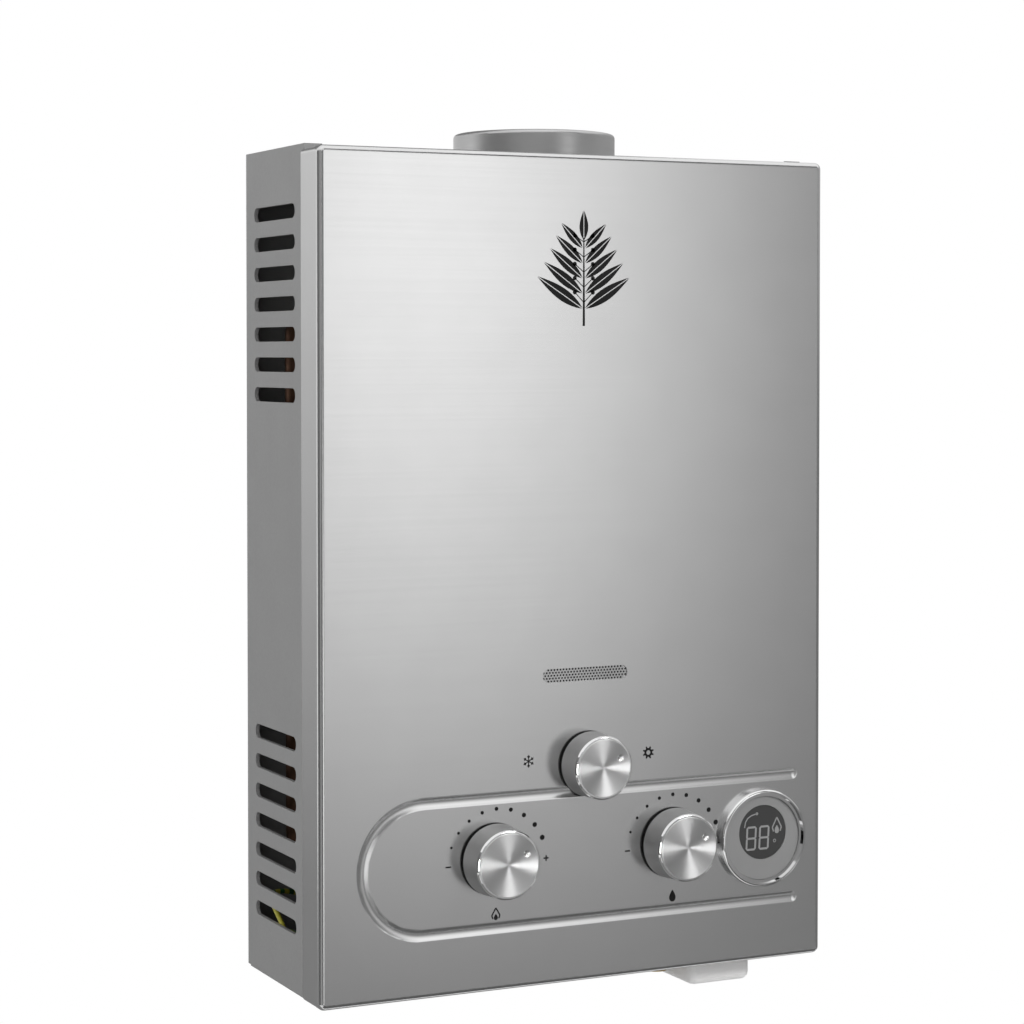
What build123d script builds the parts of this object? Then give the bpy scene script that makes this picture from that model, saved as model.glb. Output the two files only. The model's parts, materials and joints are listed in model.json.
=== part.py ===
from build123d import *
import os
from math import cos, radians, sin, sqrt

# Wall-hung gas tankless water heater, in millimetres.
# +X is right seen from the front, the front faces -Y and +Z is up.
# The origin is the middle of the back plate, on the wall plane.

os.makedirs("parts", exist_ok=True)

# Casing
body_width = 290.0
body_height = 426.0
body_depth = 105.0
sheet = 0.8
cover_drop = 2.0
cover_gap = 0.4
cover_corner = 3.4
cover_edge = 3.0
flange_depth = 23.0
top_lip = 7.0
bottom_lip = 7.0
chassis_setback = 8.0
side_overlap = 2.0
side_return = 9.5
top_drop = 3.2
tray_lip = 10.0
side_flange = 10.0
hook_spacing = 180.0
hook_width = 20.0
hook_reach = 8.0
hook_slack = 0.5
hook_drop = 4.0
tab_inset = 20.0
tab_width = 20.0
screw_inset = 5.0
screw_radius = 2.0
screw_length = 8.0
screw_head_radius = 3.8
screw_head_height = 2.2
screw_slack = 0.3

# Wall fixing
wall_inset_x = 35.0
wall_inset_z = 25.0
wall_hole_radius = 3.2
back_bead_spacing = 120.0
back_bead_length = 250.0
back_bead_rise = 40.0
back_bead_round = 5.0
back_bead_depth = 1.8

# Side vents
vent_length = 58.5
vent_height = 7.4
vent_corner = 3.6
vent_rim = 1.2
vent_pitch = 15.45
vent_count = 7
vent_group_height = 134.1
vent_from_wall = 41.35

# Bottom air slots
air_slot_room = 25.7
air_slot_width = 5.0
air_slot_pitch = 11.0
air_slot_count = 5

# Flue
collar_radius = 42.8
collar_height = 14.7
collar_flange = 3.2
collar_lip_round = 2.0
collar_lip_width = 4.5
hood_sheet = 0.6
hood_top_width = 100.0
hood_top_depth = 89.0

# Front panel layout, heights measured up from the lower edge of the cover
panel_axis_x = 2.1
gas_knob_x = -49.6
knob_rise = 67.5
season_x = 4.3
season_rise = 112.6
grille_rise = 159.0
display_inset = 37.6
display_rise = 66.0
bead_rise = 65.6
bead_half_height = 33.1
bead_left_inset = 22.8
bead_right_inset = 18.0
bead_round = 8.0
bead_depth = 0.5
bead_lip = 2.5
shaft_hole_radius = 5.0

# Sight slot
sight_length = 49.0
sight_height = 7.2
grille_border = 5.0
grille_sheet = 0.5
grille_hole = 0.52
grille_pitch = 1.75
grille_row_pitch = 1.45
grille_rows = 5
window_sheet = 0.8

# Knobs
knob_base = 37.0
knob_face = 33.8
season_base = 33.8
season_face = 31.2
knob_reach = 17.5
knob_gap = 0.8
core_height = 1.2
core_hub_radius = 9.0
knob_wall = 2.2
knob_rim = 0.7
knob_chamfer = 1.4
knob_ring_drop = 0.45
cap_rim = 0.8
cap_height = 1.5
cap_dish = 0.7
cap_fit = 0.05
pointer_angle = 27.5
pointer_share = 0.69
pointer_round = 1.7
pointer_depth = 0.7
shaft_radius = 3.0
shaft_flat = 0.7
shaft_engagement = 9.0
running_fit = 0.05

# Display
bezel_radius = 26.0
bezel_proud = 4.6
bezel_step_radius = 24.2
bezel_step_proud = 3.2
bezel_inner_radius = 22.4
bezel_tube_wall = 1.0
bezel_round = 1.6
bezel_tube_depth = 9.0
bezel_hole_slack = 0.2
display_face_proud = 2.2
display_face_sheet = 1.4
display_fit = 0.1
lens_radius = 14.4
lens_raise = 3.0
lens_sheet = 1.6
lens_recess = 0.3
board_sheet = 1.6
module_width = 20.0

# Battery box
cell_radius = 17.1
cell_length = 61.5
cell_nub_radius = 4.8
cell_nub_height = 1.5
cell_slack = 0.3
lid_swing_room = 1.2
battery_wall = 1.6
battery_inset = 53.7
battery_setback = 14.0
battery_flange = 3.0
battery_panel_slack = 0.4
lid_height = 14.0
lid_gap = 0.4
lid_corner = 5.0
lid_edge = 4.0
lid_spring_room = 1.0
hinge_radius = 2.2
hinge_pin_radius = 1.25
hinge_knuckle = 8.0
hinge_drop = 2.6
hinge_slack = 0.3

# Valves
valve_setback = 17.0
valve_depth = 60.0
valve_half_height = 21.0
valve_half_width = 17.0
valve_edge = 2.0
valve_battery_gap = 4.7
water_port_room = 13.8
gas_plug_radius = 7.0
water_plug_radius = 5.0
plug_length = 24.0
plug_end_room = 1.0
port_depth = 6.0
port_radius = 5.0
rod_inset = 17.0
rod_radius = 2.5
rod_travel = 4.0
rest_gap = 0.3
diaphragm_radius = 16.0
diaphragm_cavity = 12.5
diaphragm_sheet = 1.6
diaphragm_cover_wall = 4.0
plate_radius = 10.5
plate_thickness = 2.8
plate_end_room = 0.9
seat_wall = 7.5
gas_chamber_radius = 9.0
poppet_radius = 8.4
poppet_thickness = 3.0
spring_radius = 6.2
spring_wall = 1.0
solenoid_radius = 10.0
solenoid_length = 27.0
solenoid_flange_radius = 12.0
solenoid_flange = 3.0
bracket_sheet = 1.5
bracket_half_height = 15.0
bracket_foot = 14.0

# Flow switch
lever_pivot_rise = 12.0
lever_arm = 9.0
lever_sheet = 0.8
lever_width = 4.0
lever_hub_radius = 1.7
lever_pin_radius = 0.8
lever_ear = 0.9
collar_on_rod_radius = 4.5
collar_on_rod_length = 3.0
switch_length = 20.0
switch_height = 10.0
switch_room = 2.2

# Water and gas connections, half inch pipe thread
thread_radius = 10.48
thread_below = 13.0
thread_relief = 0.9
thread_bore = 7.0
panel_hole_slack = 1.0
hex_radius = 13.2
hex_height = 8.0
neck_radius = 9.0
connection_inset = 12.0
drain_stem_radius = 4.0
drain_knob_radius = 6.0
drain_knob_height = 5.0
drain_below = 6.3
drain_offset = 6.0
drain_setback = 12.0
drain_engagement = 10.0

# Burner
chamber_side_room = 53.0
chamber_front_room = 19.0
chamber_back_room = 12.0
chamber_height = 220.0
chamber_sheet = 0.6
chamber_below_sight = 12.0
frame_sheet = 0.8
burner_below_sight = 6.0
burner_count = 9
burner_end_room = 12.0
burner_thickness = 9.0
burner_band = 12.0
burner_mouth = 11.0
burner_neck = 16.0
burner_throat_slope = 4.0
mouth_slot = 9.0
manifold_front_room = 4.0
manifold_back_room = 4.0
manifold_below = 14.0
manifold_above = 8.0
season_plug_radius = 4.0
season_plug_length = 7.0
season_plug_room = 0.5
feed_setback = 20.0
feed_radius = 4.0
feed_wall = 1.0
feed_bend = 8.0
feed_drop = 10.0
jet_radius = 3.4
jet_tip_radius = 1.6
jet_tip_gap = 0.6
jet_shoulder = 2.0
lug_width = 5.0
frame_bracket_width = 16.0
frame_bracket_sheet = 2.0

# Heat exchanger
tube_radius = 7.0
tube_wall = 0.8
tube_pitch = 22.0
tube_below_top = 20.0
tube_bend_room = 9.0
tube_end_room = 11.0
fin_height = 40.0
fin_sheet = 1.0
fin_count = 31
fin_end_room = 5.0
riser_room = 19.0
riser_bend = 14.0
outlet_inset = 37.0
outlet_jog_low = 38.0
outlet_jog_high = 72.0
nut_radius = 11.0
nut_length = 10.0

# Ignition and safety
electrode_spacing = 72.0
electrode_radius = 3.0
electrode_rise = 5.0
electrode_out = 8.0
electrode_in = 6.0
electrode_needle = 22.0
electrode_needle_radius = 1.0
electrode_flange = 1.5
boot_size = 8.0
boot_depth = 6.0
thermostat_radius = 8.0
thermostat_height = 7.0
thermostat_rise = 148.0
igniter_width = 34.0
igniter_depth = 29.0
igniter_height = 33.0
igniter_lip_gap = 1.0
igniter_pipe_room = 20.0
igniter_edge = 2.0
lead_radius = 1.3
lead_bend_share = 0.45
clip_length = 12.0
clip_height = 6.0

# Lead bends: along X from the spark unit's left side or from the boot, out from the wall, and up or down
ignition_bends = [(7.0, 15.0, 0.0), (7.0, 15.0, 24.0), (-14.0, 42.0, 52.0), (-14.0, 80.0, 78.0)]
boot_bends = [(47.0, 96.0, 19.0)]
boot_run = 22.0
earth_bends = [(0.0, 13.0, 22.0), (20.0, 13.0, 22.0), (38.0, 15.0, 30.0)]

# The earth lead's slant past the lowest vent slot: out from the wall, and up from the slot's middle
earth_slant_start = (20.0, 8.2)
earth_slant_end = (48.0, -8.6)

# Casing faces worked out from the sizes above
front_y = -body_depth
cover_x = body_width / 2
half_height = body_height / 2
cover_top = half_height - cover_drop
cover_bottom = -half_height - cover_drop
flange_back = front_y + flange_depth
screw_y = flange_back - screw_inset
side_x = cover_x - sheet - cover_gap
side_in = side_x - sheet
back_in = -sheet
tray_back = back_in - sheet
chassis_front = front_y + chassis_setback
side_front = flange_back - side_overlap
top_z = half_height - top_drop
floor_under = cover_bottom + sheet
floor_top = floor_under + sheet
collar_y = (chassis_front + tray_back) / 2
throat_radius = collar_radius - sheet
tab_x = cover_x - tab_inset
wall_pitch_x = body_width - 2 * wall_inset_x
wall_pitch_z = body_height - 2 * wall_inset_z

# Front panel places
knob_z = cover_bottom + knob_rise
gas_x = gas_knob_x
season_z = cover_bottom + season_rise
grille_z = cover_bottom + grille_rise
display_x = cover_x - display_inset
display_z = cover_bottom + display_rise
bead_left = bead_left_inset - cover_x
bead_right = cover_x - bead_right_inset
bead_z = cover_bottom + bead_rise

# Battery box faces
battery_x = cover_x - battery_inset
battery_width = 2 * (cell_radius + cell_slack + battery_wall)
battery_depth = battery_width + 2 * cell_radius + 2 * lid_swing_room
battery_front = front_y + battery_setback
battery_back = battery_front + battery_depth
battery_left = battery_x - battery_width / 2
battery_right = battery_x + battery_width / 2
lid_top = floor_under - lid_gap
lid_bottom = lid_top - lid_height
cell_bottom = lid_bottom + battery_wall + lid_spring_room
cell_top = cell_bottom + cell_length
battery_top = cell_top + battery_wall
hinge_y = battery_back + hinge_radius
hinge_z = lid_top - hinge_drop

# Valve faces
valve_front = front_y + valve_setback
valve_back = valve_front + valve_depth
valve_top = knob_z + valve_half_height
valve_bottom = knob_z - valve_half_height
gas_left = gas_x - valve_half_width
gas_right = gas_x + valve_half_width
water_right = battery_left - valve_battery_gap
water_x = water_right - water_port_room
water_left = water_x - valve_half_width
rod_y = valve_back - rod_inset
seat_x = gas_right - seat_wall
rod_left = seat_x - rest_gap
diaphragm_left = water_left - diaphragm_sheet
diaphragm_cover_depth = diaphragm_cover_wall + plate_end_room + rod_travel + plate_thickness + rest_gap
diaphragm_cover_left = diaphragm_left - diaphragm_cover_depth
plate_right = diaphragm_left - rest_gap
switch_x = (gas_right + diaphragm_cover_left) / 2
pivot_z = knob_z + lever_pivot_rise
switch_bottom = pivot_z + switch_room
switch_top = switch_bottom + switch_height
switch_half_width = lever_width / 2 + rest_gap + lever_ear

# Connections
pipe_end = cover_bottom - thread_below
connection_y = valve_back - connection_inset
drain_x = water_x + drain_offset
drain_y = valve_front + drain_setback

# Burner and chamber faces
chamber_half = cover_x - chamber_side_room
chamber_front = front_y + chamber_front_room
chamber_back = -chamber_back_room
chamber_bottom = grille_z - chamber_below_sight
chamber_top = chamber_bottom + chamber_height
chamber_y = (chamber_front + chamber_back) / 2
burner_top = grille_z - burner_below_sight
burner_front = chamber_front + frame_sheet
burner_back = chamber_back - frame_sheet
mouth_low = season_z - burner_mouth / 2
mouth_high = season_z + burner_mouth / 2
burner_pitch = 2 * (chamber_half - burner_end_room) / (burner_count - 1)
burner_places = [(i - (burner_count - 1) / 2) * burner_pitch for i in range(burner_count)]
manifold_front = front_y + manifold_front_room
manifold_back = chamber_front - manifold_back_room
manifold_low = season_z - manifold_below
manifold_high = season_z + manifold_above

# Heat exchanger places
tube_z = chamber_top - tube_below_top
tube_front_y = chamber_y - tube_pitch
tube_rear_y = chamber_y + tube_pitch
tube_bend_x = chamber_half + tube_bend_room
tube_end_x = chamber_half + tube_end_room
riser_x = cover_x - sheet - riser_room
outlet_x = outlet_inset - cover_x
igniter_left = outlet_x + igniter_pipe_room
igniter_bottom = floor_under + tray_lip + igniter_lip_gap
igniter_top = igniter_bottom + igniter_height


def block(x, y, z, mode=Mode.ADD):
    """A box between the low and high values of x, y and z."""
    with Locations(((x[0] + x[1]) / 2, (y[0] + y[1]) / 2, (z[0] + z[1]) / 2)):
        Box(x[1] - x[0], y[1] - y[0], z[1] - z[0], mode=mode)


def bar(start, end, radius, mode=Mode.ADD):
    """A round bar from one point to another."""
    span = Vector(*end) - Vector(*start)
    with Locations(Plane(origin=start, z_dir=span)):
        Cylinder(radius, span.length, align=(Align.CENTER, Align.CENTER, Align.MIN), mode=mode)


def keep(piece, name):
    """Label a finished piece and write its file."""
    piece.part.label = name
    export_step(piece.part, f"parts/{name}.step")


def soft_tray(x, y, z, corner, edge):
    """A box whose corners along Y and front edges are rounded."""
    with BuildPart() as solid:
        block(x, y, z)
        fillet(solid.edges().filter_by(Axis.Y), corner)
        fillet(solid.faces().sort_by(Axis.Y)[0].edges(), edge)
    return solid.part


def panel_bead(radius):
    """The C-shaped bead of the front panel as a round bar with ball ends."""
    bead_plane = Plane(
        origin=(0, front_y - bead_round + bead_depth, bead_z), x_dir=(1, 0, 0), z_dir=(0, -1, 0)
    )
    turn_x = bead_left + bead_half_height
    with BuildPart() as bead:
        with BuildLine(bead_plane) as path:
            Line((bead_right, bead_half_height), (turn_x, bead_half_height))
            CenterArc((turn_x, 0), bead_half_height, 90, 180)
            Line((turn_x, -bead_half_height), (bead_right, -bead_half_height))
        with BuildSketch(Plane(origin=path.line @ 0, z_dir=path.line % 0)):
            Circle(radius)
        sweep(path=path.line)
        with Locations(path.line @ 0, path.line @ 1):
            Sphere(radius)
    return bead.part


def back_beads(radius):
    """The two upright stiffening beads of the back plate as round bars with ball ends."""
    with BuildPart() as beads:
        for x in (-back_bead_spacing / 2, back_bead_spacing / 2):
            low = (x, back_bead_round - back_bead_depth, back_bead_rise - back_bead_length / 2)
            high = (x, back_bead_round - back_bead_depth, back_bead_rise + back_bead_length / 2)
            bar(low, high, radius)
            with Locations(low, high):
                Sphere(radius)
    return beads.part


# Back plate with wall holes and stiffening beads
back_groove = back_beads(back_bead_round)
with BuildPart() as back_swell:
    add(back_beads(back_bead_round + sheet))
    split(bisect_by=Plane.XZ.offset(sheet / 2), keep=Keep.TOP)
with BuildPart() as back_plate:
    block((-side_x, side_x), (back_in, 0), (-half_height, half_height))
    add(back_swell.part)
    add(back_groove, mode=Mode.SUBTRACT)
    with BuildSketch(Plane.XZ):
        with GridLocations(wall_pitch_x, wall_pitch_z, 2, 2):
            Circle(wall_hole_radius)
    extrude(amount=2 * sheet, both=True, mode=Mode.SUBTRACT)
keep(back_plate, "back_plate")


# Side panels with a rear flange, a front return and two groups of vent slots with rims turned in
def vent_slots(plane, grow):
    """Both groups of vent slots on a plane, each slot grown outwards by grow."""
    with BuildSketch(plane) as slots:
        with Locations((-vent_from_wall, vent_group_height), (-vent_from_wall, -vent_group_height)):
            with GridLocations(vent_length, vent_pitch, 1, vent_count):
                RectangleRounded(vent_length + 2 * grow, vent_height + 2 * grow, vent_corner + grow)
    return slots.sketch


def side_panel(name, side):
    wall = sorted((side * side_in, side * side_x))
    flange = sorted((side * (side_in - side_flange), side * side_x))
    front_return = sorted((side * (side_x - side_return), side * side_x))
    return_foot = floor_under + tray_lip + cover_gap
    with BuildPart() as panel:
        block(wall, (side_front, back_in), (-half_height, half_height))
        block(flange, (tray_back, back_in), (-half_height, half_height))
        block(front_return, (side_front, side_front + sheet), (return_foot, half_height))
        extrude(vent_slots(Plane.YZ.offset(side * side_in), sheet), amount=-side * vent_rim)
        extrude(vent_slots(Plane.YZ, 0), amount=cover_x, both=True, mode=Mode.SUBTRACT)
    keep(panel, name)


side_panel("left_side_panel", -1)
side_panel("right_side_panel", 1)

# Top panel, a tray turned down, with the flue throat and slots for the cover's hooks and the side returns
with BuildPart() as top_panel:
    block((-side_in, side_in), (chassis_front, tray_back), (top_z - tray_lip, top_z))
    block(
        (sheet - side_in, side_in - sheet),
        (chassis_front + sheet, tray_back - sheet),
        (top_z - tray_lip, top_z - sheet),
        Mode.SUBTRACT,
    )
    bar((0, collar_y, top_z - tray_lip), (0, collar_y, top_z), throat_radius, Mode.SUBTRACT)
    hook_back = chassis_front + hook_reach
    for x in (-hook_spacing / 2, hook_spacing / 2):
        block(
            (x - hook_width / 2 - hook_slack, x + hook_width / 2 + hook_slack),
            (hook_back - sheet - hook_slack, hook_back + hook_slack),
            (top_z - sheet, top_z),
            Mode.SUBTRACT,
        )
    for side in (-1, 1):
        block(
            sorted((side * (side_x - side_return - cover_gap), side * side_in)),
            (side_front - cover_gap, side_front + sheet + cover_gap),
            (top_z - tray_lip, top_z),
            Mode.SUBTRACT,
        )
keep(top_panel, "top_panel")

# Bottom panel, a tray turned up, with the pipe holes, battery opening and air slots
with BuildPart() as bottom_panel:
    block((-side_in, side_in), (chassis_front, tray_back), (floor_under, floor_under + tray_lip))
    block(
        (sheet - side_in, side_in - sheet),
        (chassis_front + sheet, tray_back - sheet),
        (floor_top, floor_under + tray_lip),
        Mode.SUBTRACT,
    )
    block(
        (battery_left - battery_panel_slack, battery_right + battery_panel_slack),
        (battery_front - battery_panel_slack, battery_back + battery_panel_slack),
        (floor_under, floor_top),
        Mode.SUBTRACT,
    )
    notch_half = hinge_knuckle / 2 + battery_panel_slack
    block(
        (battery_x - notch_half, battery_x + notch_half),
        (battery_back, hinge_y + hinge_radius + battery_panel_slack),
        (floor_under, floor_top),
        Mode.SUBTRACT,
    )
    with BuildSketch(Plane.XY.offset(floor_under)):
        with Locations((gas_x, connection_y), (water_x, connection_y), (outlet_x, tube_rear_y)):
            Circle(thread_radius + panel_hole_slack)
        with Locations((drain_x, drain_y)):
            Circle(drain_stem_radius + panel_hole_slack)
        with Locations((-tab_x, screw_y), (tab_x, screw_y)):
            Circle(screw_radius)
        with Locations(((gas_x + water_x) / 2, chamber_y)):
            with GridLocations(1, air_slot_pitch, 1, air_slot_count):
                SlotOverall(water_x - gas_x - 2 * air_slot_room, air_slot_width)
    extrude(amount=sheet, mode=Mode.SUBTRACT)
keep(bottom_panel, "bottom_panel")

# Front cover, a shallow tray that wraps the side panels, with the pressed bead
cover_outer = soft_tray(
    (-cover_x, cover_x), (front_y, flange_back), (cover_bottom, cover_top), cover_corner, cover_edge
)
cover_core = soft_tray(
    (sheet - cover_x, cover_x - sheet),
    (front_y + sheet, flange_back),
    (cover_bottom + sheet, cover_top - sheet),
    cover_corner - sheet,
    cover_edge - sheet,
)
bead_groove = panel_bead(bead_round)
with BuildPart() as bead_swell:
    add(panel_bead(bead_round + sheet))
    split(bisect_by=Plane.XZ.offset(body_depth - sheet / 2), keep=Keep.BOTTOM)
with BuildPart() as front_cover:
    add(cover_outer)
    add(cover_core, mode=Mode.SUBTRACT)
    block(
        (sheet - cover_x, cover_x - sheet),
        (front_y + top_lip, flange_back),
        (cover_top - sheet - cover_corner, cover_top),
        Mode.SUBTRACT,
    )
    block(
        (sheet - cover_x, cover_x - sheet),
        (front_y + bottom_lip, flange_back),
        (cover_bottom, cover_bottom + sheet + cover_corner),
        Mode.SUBTRACT,
    )
    for x in (-hook_spacing / 2, hook_spacing / 2):
        block(
            (x - hook_width / 2, x + hook_width / 2),
            (front_y + top_lip, hook_back),
            (cover_top - sheet, cover_top),
        )
        block(
            (x - hook_width / 2, x + hook_width / 2),
            (hook_back - sheet, hook_back),
            (top_z - sheet - hook_drop, cover_top),
        )
    for x in (-tab_x, tab_x):
        block(
            (x - tab_width / 2, x + tab_width / 2),
            (front_y + bottom_lip, flange_back),
            (cover_bottom, cover_bottom + sheet),
        )
        bar(
            (x, screw_y, cover_bottom),
            (x, screw_y, cover_bottom + sheet),
            screw_radius + screw_slack,
            Mode.SUBTRACT,
        )
    add(bead_swell.part)
    add(bead_groove, mode=Mode.SUBTRACT)
    fillet(front_cover.faces().sort_by(Axis.Y)[0].inner_wires()[0].edges(), bead_lip)
    with BuildSketch(Plane.XZ.offset(body_depth)):
        with Locations((gas_x, knob_z), (water_x, knob_z), (season_x, season_z)):
            Circle(shaft_hole_radius)
        with Locations((display_x, display_z)):
            Circle(bezel_inner_radius + bezel_tube_wall + bezel_hole_slack)
        with Locations((panel_axis_x, grille_z)):
            SlotOverall(sight_length, sight_height)
    extrude(amount=2 * sheet, both=True, mode=Mode.SUBTRACT)
keep(front_cover, "front_cover")

# Two screws that hold the cover's lower tabs to the bottom panel
with BuildPart() as cover_screws:
    for x in (-tab_x, tab_x):
        bar((x, screw_y, cover_bottom - screw_head_height), (x, screw_y, cover_bottom), screw_head_radius)
        bar((x, screw_y, cover_bottom), (x, screw_y, cover_bottom + screw_length), screw_radius)
keep(cover_screws, "cover_screws")

# Perforated grille and heat-proof window behind the sight slot
with BuildPart() as sight_grille:
    block(
        (panel_axis_x - sight_length / 2 - grille_border, panel_axis_x + sight_length / 2 + grille_border),
        (front_y + sheet, front_y + sheet + grille_sheet),
        (grille_z - sight_height / 2 - grille_border, grille_z + sight_height / 2 + grille_border),
    )
    with BuildSketch(Plane.XZ.offset(body_depth - sheet)):
        for row in range(grille_rows):
            rise = (row - (grille_rows - 1) / 2) * grille_row_pitch
            end_round = sqrt(max(0.0, (sight_height / 2) ** 2 - rise**2))
            span = sight_length - sight_height + 2 * (end_round - grille_hole)
            steps = int(span / grille_pitch)
            steps -= (steps + row) % 2
            with Locations((panel_axis_x, grille_z + rise)):
                with GridLocations(grille_pitch, 1, steps + 1, 1):
                    Circle(grille_hole)
    extrude(amount=-grille_sheet, mode=Mode.SUBTRACT)
keep(sight_grille, "sight_grille")

with BuildPart() as sight_window:
    window_front = front_y + sheet + grille_sheet
    block(
        (panel_axis_x - sight_length / 2, panel_axis_x + sight_length / 2),
        (window_front, window_front + window_sheet),
        (grille_z - sight_height / 2, grille_z + sight_height / 2),
    )
keep(sight_window, "sight_window")

# Flue collar with a lip rolled inwards
lip_x = collar_radius - collar_lip_round
lip_z = collar_height - collar_lip_round
lip_end = collar_radius - collar_lip_width
with BuildPart() as flue_collar:
    with BuildSketch(Plane(origin=(0, collar_y, top_z), x_dir=(1, 0, 0), z_dir=(0, -1, 0))):
        with BuildLine():
            Polyline(
                (throat_radius, 0),
                (collar_radius + collar_flange, 0),
                (collar_radius + collar_flange, sheet),
                (collar_radius, sheet),
                (collar_radius, lip_z),
            )
            CenterArc((lip_x, lip_z), collar_lip_round, 0, 90)
            Polyline(
                (lip_x, collar_height),
                (lip_end, collar_height),
                (lip_end, collar_height - sheet),
                (lip_x, collar_height - sheet),
            )
            CenterArc((lip_x, lip_z), collar_lip_round - sheet, 90, -90)
            Line((throat_radius, lip_z), (throat_radius, 0))
        make_face()
    revolve(axis=Axis((0, collar_y, 0), (0, 0, 1)))
keep(flue_collar, "flue_collar")

# Draught hood from the heat exchanger up to the top panel
with BuildPart() as draught_hood:
    for inset, mode in ((0, Mode.ADD), (2 * hood_sheet, Mode.SUBTRACT)):
        with BuildSketch(Plane((0, chamber_y, chamber_top))) as hood_foot:
            Rectangle(2 * chamber_half - inset, chamber_back - chamber_front - inset)
        with BuildSketch(Plane((0, collar_y, top_z - sheet))) as hood_head:
            Rectangle(hood_top_width - inset, hood_top_depth - inset)
        loft(sections=[hood_foot.sketch.face(), hood_head.sketch.face()], mode=mode)
keep(draught_hood, "draught_hood")


# Control knobs: black core, knurled sleeve, spun cap and the shaft with its valve plug
def d_section(plane, radius):
    """Round shaft section with one flat."""
    with BuildSketch(plane) as section:
        Circle(radius)
        with Locations((0, radius - shaft_flat)):
            Rectangle(2 * radius, radius, align=(Align.CENTER, Align.MIN), mode=Mode.SUBTRACT)
    return section.sketch


def control(name, x, z, base, face, plug_radius, plug_front, plug_reach):
    axis = Axis((x, front_y, z), (0, -1, 0))
    half_plane = Plane(origin=(x, front_y, z), x_dir=(1, 0, 0), z_dir=(0, 0, -1))
    core_top = knob_gap + core_height
    cap_foot = knob_reach - cap_height
    sleeve_inside = cap_foot - knob_wall
    cap_radius = face / 2 - cap_rim
    ring_top = knob_reach - knob_ring_drop
    shaft_plane = Plane(origin=(x, front_y - knob_gap, z), x_dir=(1, 0, 0), z_dir=(0, -1, 0))
    bore_section = d_section(shaft_plane, shaft_radius + running_fit)
    shaft_section = d_section(shaft_plane, shaft_radius)

    with BuildPart() as core:
        bar((x, front_y - knob_gap, z), (x, front_y - core_top, z), base / 2)
        bar((x, front_y - core_top, z), (x, front_y - sleeve_inside, z), core_hub_radius)
        extrude(bore_section, amount=shaft_engagement, mode=Mode.SUBTRACT)
    keep(core, f"{name}_knob_core")

    with BuildPart() as sleeve:
        with BuildSketch(half_plane):
            with BuildLine():
                Polyline(
                    (face / 2 - knob_wall, core_top),
                    (base / 2, core_top),
                    (face / 2 + knob_rim, knob_reach - knob_chamfer),
                    (face / 2, ring_top),
                    (cap_radius, ring_top),
                    (cap_radius, cap_foot),
                    (0, cap_foot),
                    (0, sleeve_inside),
                    (face / 2 - knob_wall, sleeve_inside),
                    close=True,
                )
            make_face()
        revolve(axis=axis)
    keep(sleeve, f"{name}_knob_sleeve")

    with BuildPart() as cap:
        with BuildSketch(half_plane):
            with BuildLine():
                Polyline(
                    (0, cap_foot),
                    (cap_radius - cap_fit, cap_foot),
                    (cap_radius - cap_fit, knob_reach),
                    (0, knob_reach - cap_dish),
                    close=True,
                )
            make_face()
        revolve(axis=axis)
        pointer_radius = pointer_share * cap_radius
        pointer_face = knob_reach - cap_dish * (1 - pointer_share)
        with Locations(
            (
                x + pointer_radius * cos(radians(pointer_angle)),
                front_y - pointer_face - pointer_round + pointer_depth,
                z + pointer_radius * sin(radians(pointer_angle)),
            )
        ):
            Sphere(pointer_round, mode=Mode.SUBTRACT)
    keep(cap, f"{name}_knob_cap")

    with BuildPart() as shaft:
        extrude(shaft_section, amount=shaft_engagement - cap_fit)
        bar((x, front_y - knob_gap, z), (x, plug_front, z), shaft_radius)
        bar((x, plug_front, z), (x, plug_front + plug_reach, z), plug_radius)
    keep(shaft, f"{name}_shaft")


plug_face = valve_front + plug_end_room
control("gas", gas_x, knob_z, knob_base, knob_face, gas_plug_radius, plug_face, plug_length)
control("water", water_x, knob_z, knob_base, knob_face, water_plug_radius, plug_face, plug_length)
control(
    "season",
    season_x,
    season_z,
    season_base,
    season_face,
    season_plug_radius,
    manifold_front + season_plug_room,
    season_plug_length,
)

# Display: chrome bezel, grey face, dark lens and the board with its glass module
display_plane = Plane(origin=(display_x, front_y, display_z), x_dir=(1, 0, 0), z_dir=(0, 0, -1))
display_axis = Axis((display_x, front_y, display_z), (0, -1, 0))
lens_z = display_z + lens_raise
face_back = display_face_proud - display_face_sheet
lens_front = display_face_proud - lens_recess
lens_back = lens_front - lens_sheet
board_front = board_sheet - bezel_tube_depth
bezel_tube_radius = bezel_inner_radius + bezel_tube_wall
with BuildPart() as display_bezel:
    with BuildSketch(display_plane) as bezel_section:
        with BuildLine():
            Polyline(
                (bezel_inner_radius, -bezel_tube_depth),
                (bezel_tube_radius, -bezel_tube_depth),
                (bezel_tube_radius, 0),
                (bezel_radius, 0),
                (bezel_radius, bezel_proud),
                (bezel_step_radius, bezel_proud),
                (bezel_step_radius, bezel_step_proud),
                (bezel_inner_radius, bezel_step_proud),
                close=True,
            )
        make_face()
        fillet(bezel_section.vertices().group_by(Axis.X)[-1].sort_by(Axis.Y)[-1], bezel_round)
    revolve(axis=display_axis)
keep(display_bezel, "display_bezel")

with BuildPart() as display_face:
    bar(
        (display_x, front_y - face_back, display_z),
        (display_x, front_y - display_face_proud, display_z),
        bezel_inner_radius - display_fit,
    )
    bar(
        (display_x, front_y - face_back, lens_z),
        (display_x, front_y - display_face_proud, lens_z),
        lens_radius + display_fit,
        Mode.SUBTRACT,
    )
keep(display_face, "display_face")

with BuildPart() as display_lens:
    bar((display_x, front_y - lens_back, lens_z), (display_x, front_y - lens_front, lens_z), lens_radius)
keep(display_lens, "display_lens")

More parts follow.
